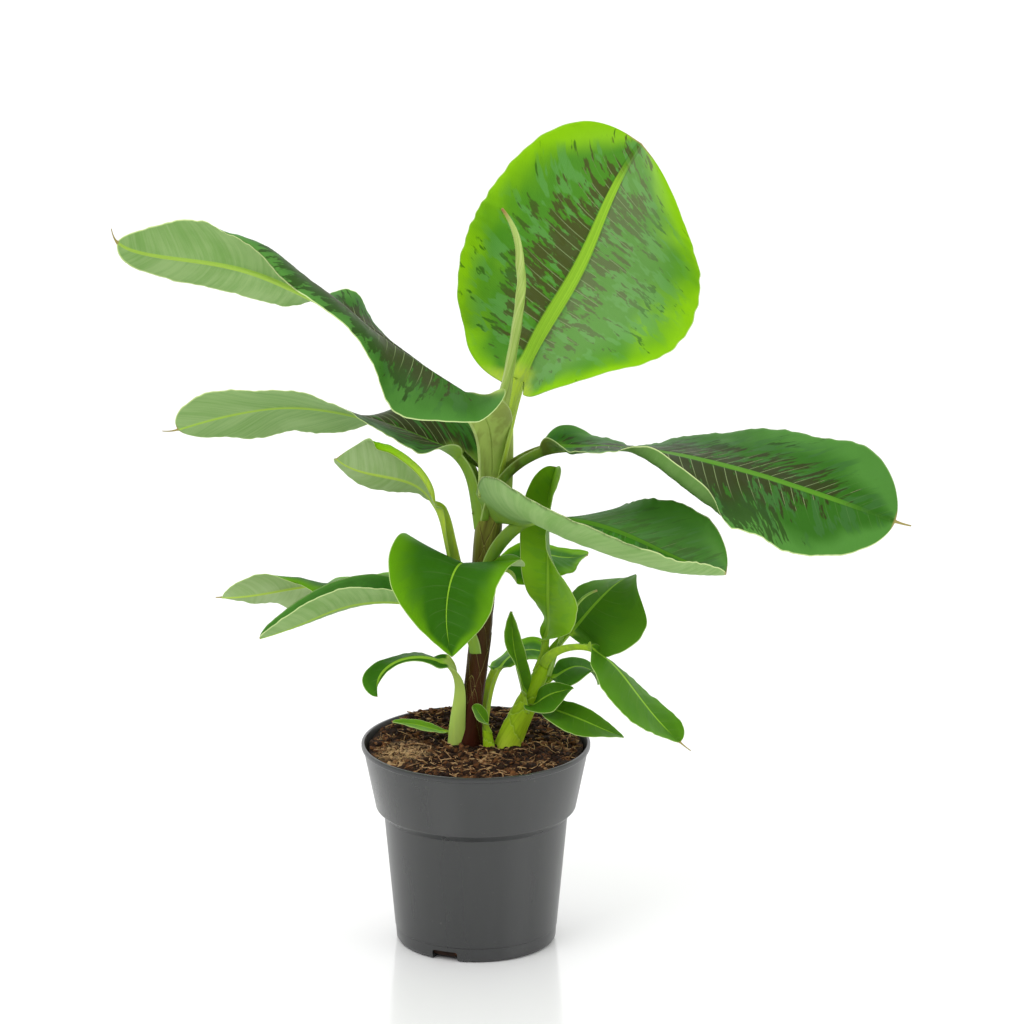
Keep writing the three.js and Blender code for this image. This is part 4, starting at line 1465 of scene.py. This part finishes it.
class ScatterTree:
    """A Geometry Nodes tree that strews one kind of loose matter over a surface."""

    INPUTS = (("Density", "NodeSocketFloat"), ("Smallest", "NodeSocketFloat"), ("Largest", "NodeSocketFloat"),
              ("Tilt", "NodeSocketFloat"), ("Wander", "NodeSocketFloat"), ("Seed", "NodeSocketInt"),
              ("Material", "NodeSocketMaterial"))

    def __init__(self, kind: Crumb) -> None:
        """Build the tree.

        Args:
            kind: The loose matter that it strews.
        """
        self.tree = bpy.data.node_groups.new(f"strew_{kind.value}", "GeometryNodeTree")
        self.tree.interface.new_socket("Geometry", in_out="INPUT", socket_type="NodeSocketGeometry")
        self.tree.interface.new_socket("Geometry", in_out="OUTPUT", socket_type="NodeSocketGeometry")
        for name, kind_of_socket in self.INPUTS:
            self.tree.interface.new_socket(name, in_out="INPUT", socket_type=kind_of_socket)
        source = self.add("NodeGroupInput").outputs
        points = self.add("GeometryNodeDistributePointsOnFaces", Mesh=source["Geometry"], Density=source["Density"],
                          Seed=source["Seed"])
        size = self.add("FunctionNodeRandomValue", Seed=source["Seed"])
        self.link(source["Smallest"], size.inputs[2])
        self.link(source["Largest"], size.inputs[3])
        turn = self.add("FunctionNodeRandomValue", Seed=source["Seed"])
        turn.data_type = "FLOAT_VECTOR"
        lean = self.add("ShaderNodeMath", operation="MULTIPLY")
        self.link(source["Tilt"], lean.inputs[0])
        lean.inputs[1].default_value = -1
        low = self.join(lean.outputs[0], lean.outputs[0], 0.0)
        high = self.join(source["Tilt"], source["Tilt"], 2 * math.pi)
        self.link(low, turn.inputs[0])
        self.link(high, turn.inputs[1])
        spread = self.add("GeometryNodeInstanceOnPoints", Points=points.outputs["Points"],
                          Instance=self.shape(kind), Rotation=turn.outputs[0], Scale=size.outputs[1])
        loose = self.add("GeometryNodeRealizeInstances", Geometry=spread.outputs[0])
        bent = self.add("GeometryNodeSetPosition", Geometry=loose.outputs[0], Offset=self.wander(source["Wander"]))
        dressed = self.add("GeometryNodeSetMaterial", Geometry=bent.outputs[0], Material=source["Material"])
        sink = self.add("NodeGroupOutput")
        self.link(dressed.outputs[0], sink.inputs[0])

    def add(self, kind: str, operation: str | None = None, **inputs: object) -> bpy.types.Node:
        """Add a node.

        Args:
            kind: Blender's name of the node.
            operation: The node's operation, where it has one.
            **inputs: Sockets to link or constants to set, by input name.

        Returns:
            The node.
        """
        node = self.tree.nodes.new(kind)
        if operation:
            node.operation = operation
        for name, value in inputs.items():
            socket = node.inputs[name.replace("_", " ")]
            if isinstance(value, Socket):
                self.link(value, socket)
            else:
                socket.default_value = value
        return node

    def link(self, source: Socket, target: Socket) -> None:
        """Link two sockets."""
        self.tree.links.new(source, target)

    def join(self, x: object, y: object, z: object) -> Socket:
        """Join three numbers into a vector."""
        return self.add("ShaderNodeCombineXYZ", X=x, Y=y, Z=z).outputs[0]

    def wander(self, amount: Socket) -> Socket:
        """Give a noisy offset.

        Args:
            amount: Socket of its size in metres.

        Returns:
            The offset's socket.
        """
        rough = self.add("ShaderNodeTexNoise", Scale=230.0, Detail=2.0)
        centred = self.add("ShaderNodeVectorMath", operation="SUBTRACT")
        self.link(rough.outputs["Color"], centred.inputs[0])
        centred.inputs[1].default_value = (0.5, 0.5, 0.5)
        scaled = self.add("ShaderNodeVectorMath", operation="SCALE")
        self.link(centred.outputs[0], scaled.inputs[0])
        self.link(amount, scaled.inputs["Scale"])
        return scaled.outputs[0]

    def shape(self, kind: Crumb) -> Socket:
        """Give the shape that is strewn, about a metre long before its size is applied.

        Args:
            kind: The loose matter.

        Returns:
            The shape's socket.
        """
        if kind is Crumb.CLOD:
            return self.add("GeometryNodeMeshIcoSphere", Radius=0.5, Subdivisions=2).outputs[0]
        if kind is Crumb.CHIP:
            return self.add("GeometryNodeMeshCube", Size=(1.0, 0.34, 0.12),
                            Vertices_X=4, Vertices_Y=2, Vertices_Z=2).outputs[0]
        bow = self.add("GeometryNodeCurveQuadraticBezier", Resolution=7, Start=(-0.5, 0.0, 0.0),
                       Middle=(0.05, 0.3, 0.12), End=(0.5, -0.05, 0.0))
        ring = self.add("GeometryNodeCurvePrimitiveCircle", Resolution=4)
        ring.inputs["Radius"].default_value = 0.026
        return self.add("GeometryNodeCurveToMesh", Curve=bow.outputs[0], Profile_Curve=ring.outputs[0],
                        Fill_Caps=True).outputs[0]

    def strew(self, name: str, surface: bpy.types.Mesh, values: dict[str, object]) -> bpy.types.Object:
        """Strew the matter over a surface.

        Args:
            name: Name of the piece.
            surface: The mesh that it lies on.
            values: The tree's inputs, by name.

        Returns:
            The piece, as a plain mesh.
        """
        piece = bpy.data.objects.new(name, surface)
        bpy.context.scene.collection.objects.link(piece)
        modifier = piece.modifiers.new("strew", "NODES")
        modifier.node_group = self.tree
        for item in self.tree.interface.items_tree:
            if item.in_out == "INPUT" and item.name in values:
                modifier[item.identifier] = values[item.name]
        apply_modifiers(piece)
        piece.data.shade_smooth()
        return piece


@dataclass
class PottingSoil:
    """The soil: a bed that fills the pot, heaped a little to the back, with clods, bark chips and coir fibres.

    Attributes:
        level, top_radius: Height and radius of the surface's edge.
        heap, back_heap, ruffle: Heights of the heap, of its rise to the back and of the crumbs.
        bare_rings: Rings at the edge that carry no loose matter.
        sides: Radius and height of each ring below the surface.
    """

    level: float = 149
    top_radius: float = 79.5
    heap: float = 4
    back_heap: float = 6.5
    ruffle: float = 2.2
    rings: int = 70
    segments: int = 220
    bare_rings: int = 4
    sides: tuple[Pair, ...] = ((54.6, 2.3), (57.6, 5.3), (66.6, 98), (72.6, 104.3))

    def surface_height(self, x: float, y: float) -> float:
        """Give the height of the surface at a place on the plan.

        Args:
            x: Millimetres to the right.
            y: Millimetres to the back.

        Returns:
            The height in millimetres.
        """
        reach = math.hypot(x, y) / self.top_radius
        crumbs = noise.fractal(Vector((x / 11, y / 11, 0.3)), 0.8, 2.1, 4)
        back = min(max((y + 10) / 70, 0.0), 1.0) ** 1.4 * (1.15 - 0.3 * x / self.top_radius)
        edge = min(max((1 - reach) * 6, 0.35), 1.0)
        return self.level + self.heap * (1 - reach**2) + self.back_heap * back * edge + self.ruffle * crumbs

    def build(self, finish: SoilFinish) -> list[bpy.types.Object]:
        """Build and dress the soil.

        Args:
            finish: The soil's finish.

        Returns:
            The bed and the loose pieces on it.
        """
        materials = finish.materials()
        angles = 2 * np.pi * np.arange(self.segments) / self.segments
        rows = [[(r * math.cos(a), r * math.sin(a), z) for a in angles] for r, z in self.sides]
        top_rows = []
        for radius in self.top_radius * (1 - np.arange(self.rings) / self.rings):
            spots = [(radius * math.cos(a), radius * math.sin(a)) for a in angles]
            top_rows.append([(x, y, self.surface_height(x, y)) for x, y in spots])
        points = np.array(rows + top_rows).reshape(-1, 3)
        ends = np.array([[0, 0, self.sides[0][1]], [0, 0, self.surface_height(0, 0)]])
        faces = loft_faces(len(rows) + len(top_rows), self.segments)
        bed = make_object("soil_bed", np.vstack([points, ends]), faces, [materials[None]])
        seat(bed, "potting_soil", "soil")
        top = bpy.data.meshes.new("soil_top")
        flat = np.array(top_rows[self.bare_rings:]).reshape(-1, 3)
        quads = ring_quads(self.rings - self.bare_rings, self.segments)
        top.from_pydata((flat * MM).tolist(), [], quads.tolist())
        pieces = [bed]
        for kind, values in {
            Crumb.CLOD: {"Density": 52000.0, "Smallest": 0.0018, "Largest": 0.0050, "Tilt": 3.1, "Wander": 0.0022},
            Crumb.CHIP: {"Density": 26000.0, "Smallest": 0.002, "Largest": 0.009, "Tilt": 0.5, "Wander": 0.0012},
            Crumb.FIBRE: {"Density": 24000.0, "Smallest": 0.005, "Largest": 0.017, "Tilt": 0.45, "Wander": 0.0030},
        }.items():
            values = {**values, "Seed": 7 + len(pieces), "Material": materials[kind]}
            piece = ScatterTree(kind).strew(f"soil_{kind.value}", top.copy(), values)
            seat(piece, "potting_soil")
            pieces.append(piece)
        bpy.data.meshes.remove(top)
        return pieces


@dataclass
class Studio:
    """The plain pale floor, soft light and the camera at the photograph's place.

    Attributes:
        camera_pitch: Turn from looking straight down.
        far_clip: How far the camera sees, in metres.
        floor_size: Side of the floor in metres.
        front_to_back, brightness: Stretch of the sky over which it brightens, and its strengths there.
        lamps: Name, place, size and power of each lamp, in metres and watts.
        lit_height: Height in metres that the lamps point at.
    """

    camera_place: Point = (26.8, -5000, 1853)
    camera_pitch: float = 73.07
    lens: float = 250
    sensor_width: float = 36
    far_clip: float = 100
    floor_size: float = 40
    floor_drop: float = 0.2
    floor_colour: Colour = (0.93, 0.93, 0.93)
    front_to_back: Pair = (-1.0, 0.6)
    brightness: Pair = (0.55, 1.35)
    lamps: tuple[tuple[str, Point, float, float], ...] = (
        ("key", (-1.4, -1.6, 2.8), 1.6, 36),
        ("fill", (2.2, -1.2, 1.4), 1.6, 14),
    )
    lit_height: float = 0.3

    def floor(self) -> bpy.types.Object:
        """Lay the floor, pale and faintly glossy.

        Returns:
            The floor.
        """
        material = Shader("pale_floor").finish(self.floor_colour, 0.14, 0.7)
        half = self.floor_size / 2 / MM
        corners = ((-half, -half), (half, -half), (half, half), (-half, half))
        points = np.array([(x, y, -self.floor_drop) for x, y in corners])
        piece = make_object("floor", points, [[0, 1, 2, 3]], [material])
        return piece

    def light(self) -> None:
        """Set a bright sky, dimmer on the camera's side, and two large soft lamps."""
        world = bpy.data.worlds.new("studio")
        world.use_nodes = True
        world.node_tree.nodes["Background"].inputs["Color"].default_value = (1, 1, 1, 1)
        nodes, links = world.node_tree.nodes, world.node_tree.links
        split = nodes.new("ShaderNodeSeparateXYZ")
        links.new(nodes.new("ShaderNodeTexCoord").outputs["Generated"], split.inputs[0])
        fade = nodes.new("ShaderNodeMapRange")
        for socket, value in zip(fade.inputs[1:5], (*self.front_to_back, *self.brightness)):
            socket.default_value = value
        links.new(split.outputs["Y"], fade.inputs[0])
        links.new(fade.outputs[0], nodes["Background"].inputs["Strength"])
        bpy.context.scene.world = world
        for name, place, size, power in self.lamps:
            lamp = bpy.data.lights.new(name, "AREA")
            lamp.shape, lamp.size, lamp.energy = "SQUARE", size, power
            holder = bpy.data.objects.new(name, lamp)
            holder.location = place
            aim = Vector((0, 0, self.lit_height)) - Vector(place)
            holder.rotation_euler = aim.to_track_quat("-Z", "Y").to_euler()
            bpy.context.scene.collection.objects.link(holder)

    def camera(self) -> None:
        """Stand the camera at the photograph's viewing angle."""
        camera = bpy.data.cameras.new("camera")
        camera.lens, camera.sensor_width = self.lens, self.sensor_width
        camera.clip_end = self.far_clip
        holder = bpy.data.objects.new("camera", camera)
        holder.location = Vector(self.camera_place) * MM
        holder.rotation_euler = (math.radians(self.camera_pitch), 0, 0)
        bpy.context.scene.collection.objects.link(holder)
        bpy.context.scene.camera = holder
        bpy.context.scene.view_settings.view_transform = "Standard"


@dataclass
class BananaPlant:
    """The plant: its stems, open leaves and leaves that are still rolled up."""

    leaves: list[BananaLeaf] = field(default_factory=list)
    stems: list[SheathStem] = field(default_factory=list)
    rolled: list[RolledLeaf] = field(default_factory=list)

    def build(self) -> list[bpy.types.Object]:
        """Build every stem and leaf.

        Returns:
            The pieces.
        """
        finishes = {family: (finish.upper(), finish.underside()) for family, finish in LEAF_FINISHES.items()}
        pieces = [stem.build() for stem in self.stems]
        pieces += [leaf.build(finishes) for leaf in self.leaves]
        return pieces + [leaf.build() for leaf in self.rolled]


def open_leaves() -> list[BananaLeaf]:
    """List the open leaves: those of the main stem from the top down, then those of the side shoots.

    Returns:
        The leaves.
    """
    return [
        BananaLeaf(
            node="leaf_top",
            family=LeafFamily.GREEN,
            axis=GrowthAxis((16, 2, 345), 284, (-7, 15, 27, 6, -12),
                            (80, 76, 55, 68, 57), (20, 20, 50, 55)),
            stalk=0.31, width=(86, 105), blunt=(0.35, 0.4),
            fold=((5, 15, 30), (30, 10, 5)),
            lobe=(8, 8),
            stalk_width=(11, 9), stalk_fold=(20, 30),
            detail=Detail.LARGE, midrib=8, blotch=0.95, tone=0.95, ripple=0.6,
            cover=((0.03, 0.09, 0.11, 0.07, -0.04), (0.02, 0.04, 0.05, 0.06, 0.02)),
            thinning=(0.24, 0.22), painted_sheen=(0.06, 0.28), lean=(1.0, -0.7),
        ),
        BananaLeaf(
            node="leaf_upper_left",
            family=LeafFamily.DARK,
            axis=GrowthAxis((12, -8, 342), 413, (-97, -102, -167, -168, -201, -182, -111),
                            (125, 49, 37, 34, 17, 7, 33),
                            (-5, -10, -15, -6, -10, 15, 58, 105, 98, 95, 90)),
            stalk=0.25, width=(64, 42), blunt=(0.3, 0.75),
            fold=((0,), (-40, -40, -8, 38, 38, 50, 35, 33, 25)),
            pale_stalk=0.85, brown_stalk=0.35,
            curl=((-20, -48, -60, -125, -40, -5), (-10, 10, -5)),
            stalk_width=(16, 17), stalk_fold=(40, -62),
            run_out=0.05, tail=16,
            detail=Detail.LARGE, midrib=3.5, blotch=0.95, tone=0.25, ripple=1.0,
            cover=((0.02, 0.22, 0.38, 0.46, 0.40, 0.05, -0.2, -0.2), (0.16,)),
            thinning=(0.48, 0.30), painted_sheen=(0.06, 0.0), rib_shown=0.15,
        ),
        BananaLeaf(
            node="leaf_big_right",
            family=LeafFamily.DARK,
            axis=GrowthAxis((8, -5, 328), 336, (2, -12, 0, -3, -10),
                            (78, 14, -11, -18, -18), (25, -10, -30, 5, 65)),
            stalk=0.2, width=(72, 69), blunt=(0.6, 0.55),
            fold=((22, 10, 11, 23, 23, 19, 8, 10, 10), (-15, -10, -15, -38, -44, -27, -20, 0, 15)),
            turned=(TurnedMargin(1, -0.15, 0.2, 0.8, 45), TurnedMargin(1, 0.22, 0.56, 0.72, 115)),
            stalk_width=(12, 8), stalk_fold=(50, 50),
            tail=12,
            detail=Detail.LARGE, midrib=5.5, blotch=0.9, tone=0.3, ripple=1.2,
            cover=((0.0, 0.15, 0.18, 0.13, 0.05, -0.2), (-0.12, 0.06, 0.16, 0.15, 0.05, -0.10, -0.25)),
            thinning=(0.30, 0.10), slant=(0.55, 0.04), brown_stalk=0.6, margin_shown=(0.25, 1.0),
            under_greened=0.75,
        ),
        BananaLeaf(
            node="leaf_middle_left",
            family=LeafFamily.DARK,
            axis=GrowthAxis((1, 1, 318), 280, (170, 170, 165, 165, 165),
                            (84, 76, 30, 17, 8, 0, -12, -18, -22),
                            (0, 0, 0, 10, 24, 32, 35, 52, 60)),
            stalk=0.2, width=(40, 50), blunt=(0.35, 0.45),
            fold=((-10, 0, 5), (25, 28, 25, 2, -6, -5, -1, 13, 20)),
            lobe=(0, 30),
            stalk_width=(11, 9), stalk_fold=(50, 50),
            tail=12,
            detail=Detail.LARGE, midrib=3.5, blotch=0.9, tone=0.2, ripple=0.9,
            cover=((0.14,), (0.14,)), thinning=(0.16, 0.16), slant=(1.3, 1.3), rib_shown=0.12,
        ),
        BananaLeaf(
            node="leaf_back",
            family=LeafFamily.DARK,
            axis=GrowthAxis((10, 6, 338), 262, (55, 60, 75, 80, 80),
                            (80, 65, 35, 0, -30)),
            stalk=0.33, width=(38, 38), blunt=(0.4, 0.5),
            fold=((20, 15, 10), (20, 15, 10)),
            stalk_width=(10, 7), stalk_fold=(50, 50),
            detail=Detail.LARGE, midrib=3.5, blotch=0.6, tone=0.3, ripple=0.9,
        ),
        BananaLeaf(
            node="leaf_rolled_right",
            family=LeafFamily.DARK,
            axis=GrowthAxis((11, -6, 290), 219, (7, -48, -26, -1, -9),
                            (68, 29, -5, -27, -9), (5, -5, 20, 25, 10)),
            stalk=0.21, width=(57, 72), blunt=(0.3, 0.45),
            fold=((-25, -10, 50), (-5, -15, 5)),
            curl=((0, -15, 20), (120, 110, 65)),
            lobe=(0, 30),
            stalk_width=(11, 8), stalk_fold=(10, 60),
            run_out=0.07,
            detail=Detail.LARGE, midrib=3.5, blotch=0.4, tone=0.8, ripple=1.5,
            slant=(0.6, 0.04), painted_sheen=(0.12, 0.0),
        ),
        BananaLeaf(
            node="leaf_short_left",
            family=LeafFamily.GREEN,
            axis=GrowthAxis((-12, -9, 272), 156, (180, 185, 190, 190, 190),
                            (74, 78, 78, 77, 70, 54, 28, 14, 14, 24, 44),
                            (-60, -60, -60, -55, -30, 10, 40, 60, 72, 75, 75)),
            stalk=0.41, width=(38, 19), blunt=(0.75, 0.38),
            fold=((0, 0, 0, -10), (-40, -10, 10, 35, 60)),
            turned=(TurnedMargin(0, 0.05, 0.95, 0.66, -125, 0.25),),
            stalk_width=(9, 7), stalk_fold=(60, 60),
            detail=Detail.MEDIUM, midrib=2.5, tone=1.0, ripple=0.8,
            tint_reach=0.75,
        ),
        BananaLeaf(
            node="leaf_front",
            family=LeafFamily.GREEN,
            axis=GrowthAxis((1, -5, 270), 122, (-112, -109, -118, -92, -43),
                            (40, 54, -45, -66, -68), (15, 5, 0, -5)),
            stalk=0.22, width=(49, 50), blunt=(0.3, 0.75),
            fold=((-5, 20, 25), (10, 35, 25)),
            lobe=(6, 10),
            stalk_width=(9, 6), stalk_fold=(45, 45),
            detail=Detail.LARGE, midrib=1.3, tone=0.32, ripple=0.7,
        ),
        BananaLeaf(
            node="leaf_low_left_back",
            family=LeafFamily.GREEN,
            axis=GrowthAxis((2, 2, 232), 219, (156, 158, 168, 182, 121),
                            (64, 9, 0, -11, -15),
                            (0, 5, 5, 0, 0, 5, 25, 72, 82, 75, 70)),
            stalk=0.3, width=(38, 46), blunt=(0.45, 1.0),
            fold=((0,), (0, -5, -8, 8, 25, 47, 41, 40)),
            curl=((-5, -10, -15, -50, -95, -50, -30, -20), (10, 0)),
            stalk_width=(8, 6), stalk_fold=(45, 45),
            tail=10,
            detail=Detail.MEDIUM, midrib=2.2, tone=0.3, ripple=0.8,
        ),
        BananaLeaf(
            node="leaf_low_left_front",
            family=LeafFamily.DARK,
            axis=GrowthAxis((-3, -6, 224), 188, (-167, -152, -175, -161, -177),
                            (84, 29, 0, -18, -16), (10, 35, 45, 55, 35)),
            stalk=0.28, width=(24, 43), blunt=(0.45, 0.55),
            fold=((-10, 0, 10), (5, 5, 15)),
            curl=((-10, 0, 0), (85, 125, 60)),
            stalk_width=(8, 6), stalk_fold=(45, 45),
            detail=Detail.MEDIUM, midrib=2.2, tone=0.4, ripple=0.8, margin_shown=(1.0, 0.2),
        ),
        BananaLeaf(
            node="leaf_right_back",
            family=LeafFamily.GREEN,
            axis=GrowthAxis((7, 4, 262), 116, (63, 69, 33, 34, -16),
                            (64, 4, 13, -20, 23), (20, 35, 10)),
            stalk=0.3, width=(16, 27), blunt=(0.5, 0.35),
            fold=((-15, -5, -5), (-25, 5, 10)),
            curl=((-5, 0, 5), (-5, 0, 10)),
            stalk_width=(8, 6), stalk_fold=(45, 45),
            detail=Detail.MEDIUM, midrib=2.0, tone=0.6, ripple=0.6,
        ),
        BananaLeaf(
            node="leaf_right_low",
            family=LeafFamily.GREEN,
            axis=GrowthAxis((4, 8, 150), 107, (37, 47, 54, 32, 29),
                            (66, 79, 47, 5, -41), (-10, -15, 30)),
            stalk=0.5, width=(22, 15), blunt=(0.45, 0.45),
            fold=((-5, -20, 20), (0, -5, 0)),
            stalk_width=(8, 6), stalk_fold=(50, 50),
            detail=Detail.MEDIUM, midrib=2.0, tone=0.5, ripple=0.6,
        ),
        BananaLeaf(
            node="leaf_small_left",
            family=LeafFamily.YOUNG,
            axis=GrowthAxis((-15, -9, 149), 146, (-90, -112, -146, -179, -75),
                            (82, 100, 39, -20, -64),
                            (-5, -30, -40, -45)),
            stalk=0.5, width=(3, 15), blunt=(0.6, 0.45),
            fold=((-40, -45, -50), (-40, -45, -30)),
            stalk_width=(7, 7.5), stalk_fold=(25, 25),
            detail=Detail.MEDIUM, midrib=2.0, tone=0.05, ripple=0.7, pale_stalk=0.7,
        ),
        BananaLeaf(
            node="sucker_leaf_tall",
            family=LeafFamily.YOUNG,
            axis=GrowthAxis((49, -2, 207), 157, (-7, 46, 92, 87, 52),
                            (75, 89, 86, 75, 56), (-20, -15, -35, -5)),
            stalk=0.16, width=(21, 50), blunt=(0.5, 0.4),
            fold=((-25, 25, 30), (-10, 55, 40)),
            curl=((-20, 5, 5), (-20, 5, 0)),
            stalk_width=(8, 5), stalk_fold=(60, 60),
            detail=Detail.MEDIUM, midrib=2.5, tone=0.95, ripple=0.7,
        ),
        BananaLeaf(
            node="sucker_leaf_round",
            family=LeafFamily.YOUNG,
            axis=GrowthAxis((52, -1, 210), 99, (32, 12, 6, 26, 8),
                            (65, 48, 51, 36, 16), (30, 20, -15)),
            stalk=0.33, width=(32, 52), blunt=(0.3, 0.4),
            fold=((10, -5, -10), (-5, -15, 0)),
            stalk_width=(7, 4), stalk_fold=(45, 45),
            detail=Detail.MEDIUM, midrib=2.0, tone=0.25, ripple=0.6,
        ),
        BananaLeaf(
            node="sucker_leaf_drooping",
            family=LeafFamily.YOUNG,
            axis=GrowthAxis((51, -5, 208), 149, (-68, -25, -20, -11, -31),
                            (67, 17, -43, -52, -32), (-20, -10, 5)),
            stalk=0.34, width=(22, 35), blunt=(0.45, 0.45),
            fold=((-15, 5, 25), (-5, -10, 25)),
            curl=((-20, -10, 5), (-15, -10, 0)),
            stalk_width=(7, 5), stalk_fold=(45, 45),
            tail=10,
            detail=Detail.MEDIUM, midrib=2.2, tone=0.22, ripple=0.9,
        ),
        BananaLeaf(
            node="sucker_leaf_upright",
            family=LeafFamily.YOUNG,
            axis=GrowthAxis((37, -11, 180), 77, (173, 161, 164, 118, 106),
                            (90, 75, 78, 81, 80), (-15, -15, -10)),
            stalk=0.17, width=(14, 9), blunt=(0.3, 0.7),
            fold=((35, 35, 40), (45, 35, 40)),
            stalk_width=(6, 5), stalk_fold=(50, 50),
            detail=Detail.SMALL, midrib=1.5, tone=0.4, ripple=0.6,
        ),
        BananaLeaf(
            node="sucker_leaf_low",
            family=LeafFamily.YOUNG,
            axis=GrowthAxis((35, -5, 181), 82, (-28, -27, -11, -13, 2),
                            (26, -6, -18, -21, -20), (10, 15, 5)),
            stalk=0.2, width=(12, 21), blunt=(0.4, 0.55),
            fold=((20, 20, 10), (20, 0, 20)),
            stalk_width=(6, 4), stalk_fold=(45, 45),
            detail=Detail.SMALL, midrib=1.5, tone=0.3, ripple=0.6,
        ),
        BananaLeaf(
            node="sucker_leaf_behind",
            family=LeafFamily.YOUNG,
            axis=GrowthAxis((45, 1, 190), 63, (14, -7, 35, 22, 19),
                            (42, 43, 10, -27, -53), (25, 20, 35)),
            stalk=0.27, width=(12, 21), blunt=(0.35, 0.5),
            fold=((0, 0, -5), (-15, 30, 0)),
            stalk_width=(5, 4), stalk_fold=(45, 45),
            detail=Detail.SMALL, midrib=1.5, tone=0.1, ripple=0.6,
        ),
        BananaLeaf(
            node="sucker_leaf_curled",
            family=LeafFamily.YOUNG,
            axis=GrowthAxis((39, -8, 178), 44, (-50, -39, -13, -1, 6),
                            (47, 45, 36, 13, 19), (10, 30, 10)),
            stalk=0.2, width=(9, 20), blunt=(0.4, 0.55),
            fold=((30, 30, 20), (30, 5, 30)),
            stalk_width=(5, 4), stalk_fold=(45, 45),
            detail=Detail.SMALL, midrib=1.3, tone=0.2, ripple=0.6,
        ),
        BananaLeaf(
            node="leaf_on_soil",
            family=LeafFamily.YOUNG,
            axis=GrowthAxis((-16, 4, 156), 51, (-156, -159, -160, -166, -165),
                            (28, 21, 21, 12, 11), (-5, -10, -5)),
            stalk=0.15, width=(11, 6), blunt=(0.4, 0.5),
            fold=((15, 10, 20), (20, 20, 20)),
            stalk_width=(4, 3), stalk_fold=(30, 30),
            detail=Detail.SMALL, midrib=1.2, tone=0.6, ripple=0.5,
        ),
        BananaLeaf(
            node="shoot_leaf",
            family=LeafFamily.YOUNG,
            axis=GrowthAxis((9, -14, 164), 25, (-149, -165, -182, -189, -200),
                            (74, 74, 58, 57, 45), (-5, -15, -15)),
            stalk=0.3, width=(12, 7), blunt=(0.4, 0.5),
            fold=((30, 15, 25), (30, 25, 30)),
            stalk_width=(4, 3), stalk_fold=(50, 50),
            detail=Detail.SMALL, midrib=1.0, tone=0.4, ripple=0.4,
        ),
    ]


def stems() -> list[SheathStem]:
    """List the stems with their sheaths, from the foot up.

    Returns:
        The stems.
    """
    brown = StemFinish(
        name="brown_sheath_skin",
        heights=((0.0, (0.040, 0.007, 0.003)), (0.18, (0.070, 0.018, 0.006)), (0.42, (0.058, 0.030, 0.007)),
                 (0.66, (0.066, 0.048, 0.011)), (0.90, (0.270, 0.290, 0.045))),
        shade=(0.045, 0.016, 0.008), margin=(0.400, 0.370, 0.110))
    green = StemFinish(
        name="green_sheath_skin",
        heights=((0.0, (0.600, 0.740, 0.068)), (0.3, (0.410, 0.620, 0.018)), (0.9, (0.330, 0.560, 0.012))),
        shade=(0.190, 0.360, 0.010), margin=(0.450, 0.620, 0.110))
    main_sheaths = (Sheath(-120, 62), Sheath(160, 88), Sheath(-160, 98), Sheath(63, 124), Sheath(-112, 138),
                    Sheath(184, 142), Sheath(5, 172), Sheath(172, 196), Sheath(0, 205))
    return [
        SheathStem("stem_main", "brown_sheath", GrowthAxis((-7, 0, 146), 208, (0,), (84, 82, 87, 85, 82)),
                   (12.5, 9, 9, 10.5, 13, 13.5, 11), main_sheaths, brown),
        SheathStem("stem_sucker", "green_sheath", GrowthAxis((22, -4, 145), 74, (0,), (74, 67, 66, 60)),
                   (10.5, 9.5, 8.5, 6.5), (Sheath(170, 34, 26), Sheath(-30, 46, 26), Sheath(20, 62, 24)), green,
                   sides=72, sections=110),
        SheathStem("stem_shoot", "green_sheath", GrowthAxis((11, -13, 146), 20, (180,), (81, 85)),
                   (5, 4.2, 3.4), (Sheath(-150, 15, 8, 0.3),), green, sides=40, sections=40),
    ]


def rolled_leaves() -> list[RolledLeaf]:
    """List the leaves that are still rolled up.

    Returns:
        The rolled leaves.
    """
    spear = RolledFinish("spear_skin", pale=(0.520, 0.640, 0.190), green=(0.340, 0.500, 0.090),
                         seam=(0.300, 0.330, 0.100), tip=(0.330, 0.190, 0.050))
    tendril = RolledFinish("tendril_skin", pale=(0.400, 0.600, 0.120), green=(0.250, 0.470, 0.050),
                           seam=(0.200, 0.360, 0.040), tip=(0.420, 0.380, 0.120))
    return [
        RolledLeaf("leaf_spear", GrowthAxis((15, -7, 375), 194, (-30, -34, -9, 0, 176, 173),
                                            (80, 81, 80, 83, 85, 52)),
                   (4.5, 4.5, 4, 3.8, 3.2, 1), 200, 120, spear, set_back=9),
        RolledLeaf("sucker_tendril", GrowthAxis((54, -7, 207), 82, (-38, -35, -29, -9, 0), (71, 70, 68, 58, 16)),
                   (2.2, 1.6, 1.5, 1.4, 0.9), 220, 160, tendril, sides=24, sections=90),
    ]


def main() -> None:
    """Build the pot, the soil, the plant and the studio, and report each piece."""
    logging.basicConfig(level=logging.INFO, format="%(message)s")
    studio = Studio()
    studio.camera()
    studio.floor()
    studio.light()
    pieces = [NurseryPot().build(PotFinish())]
    pieces += PottingSoil().build(SoilFinish())
    pieces += BananaPlant(open_leaves(), stems(), rolled_leaves()).build()
    for piece in pieces:
        triangles = sum(len(face.vertices) - 2 for face in piece.data.polygons)
        LOG.info("%s: %d triangles", piece.name, triangles)


if __name__ == "__main__":
    main()
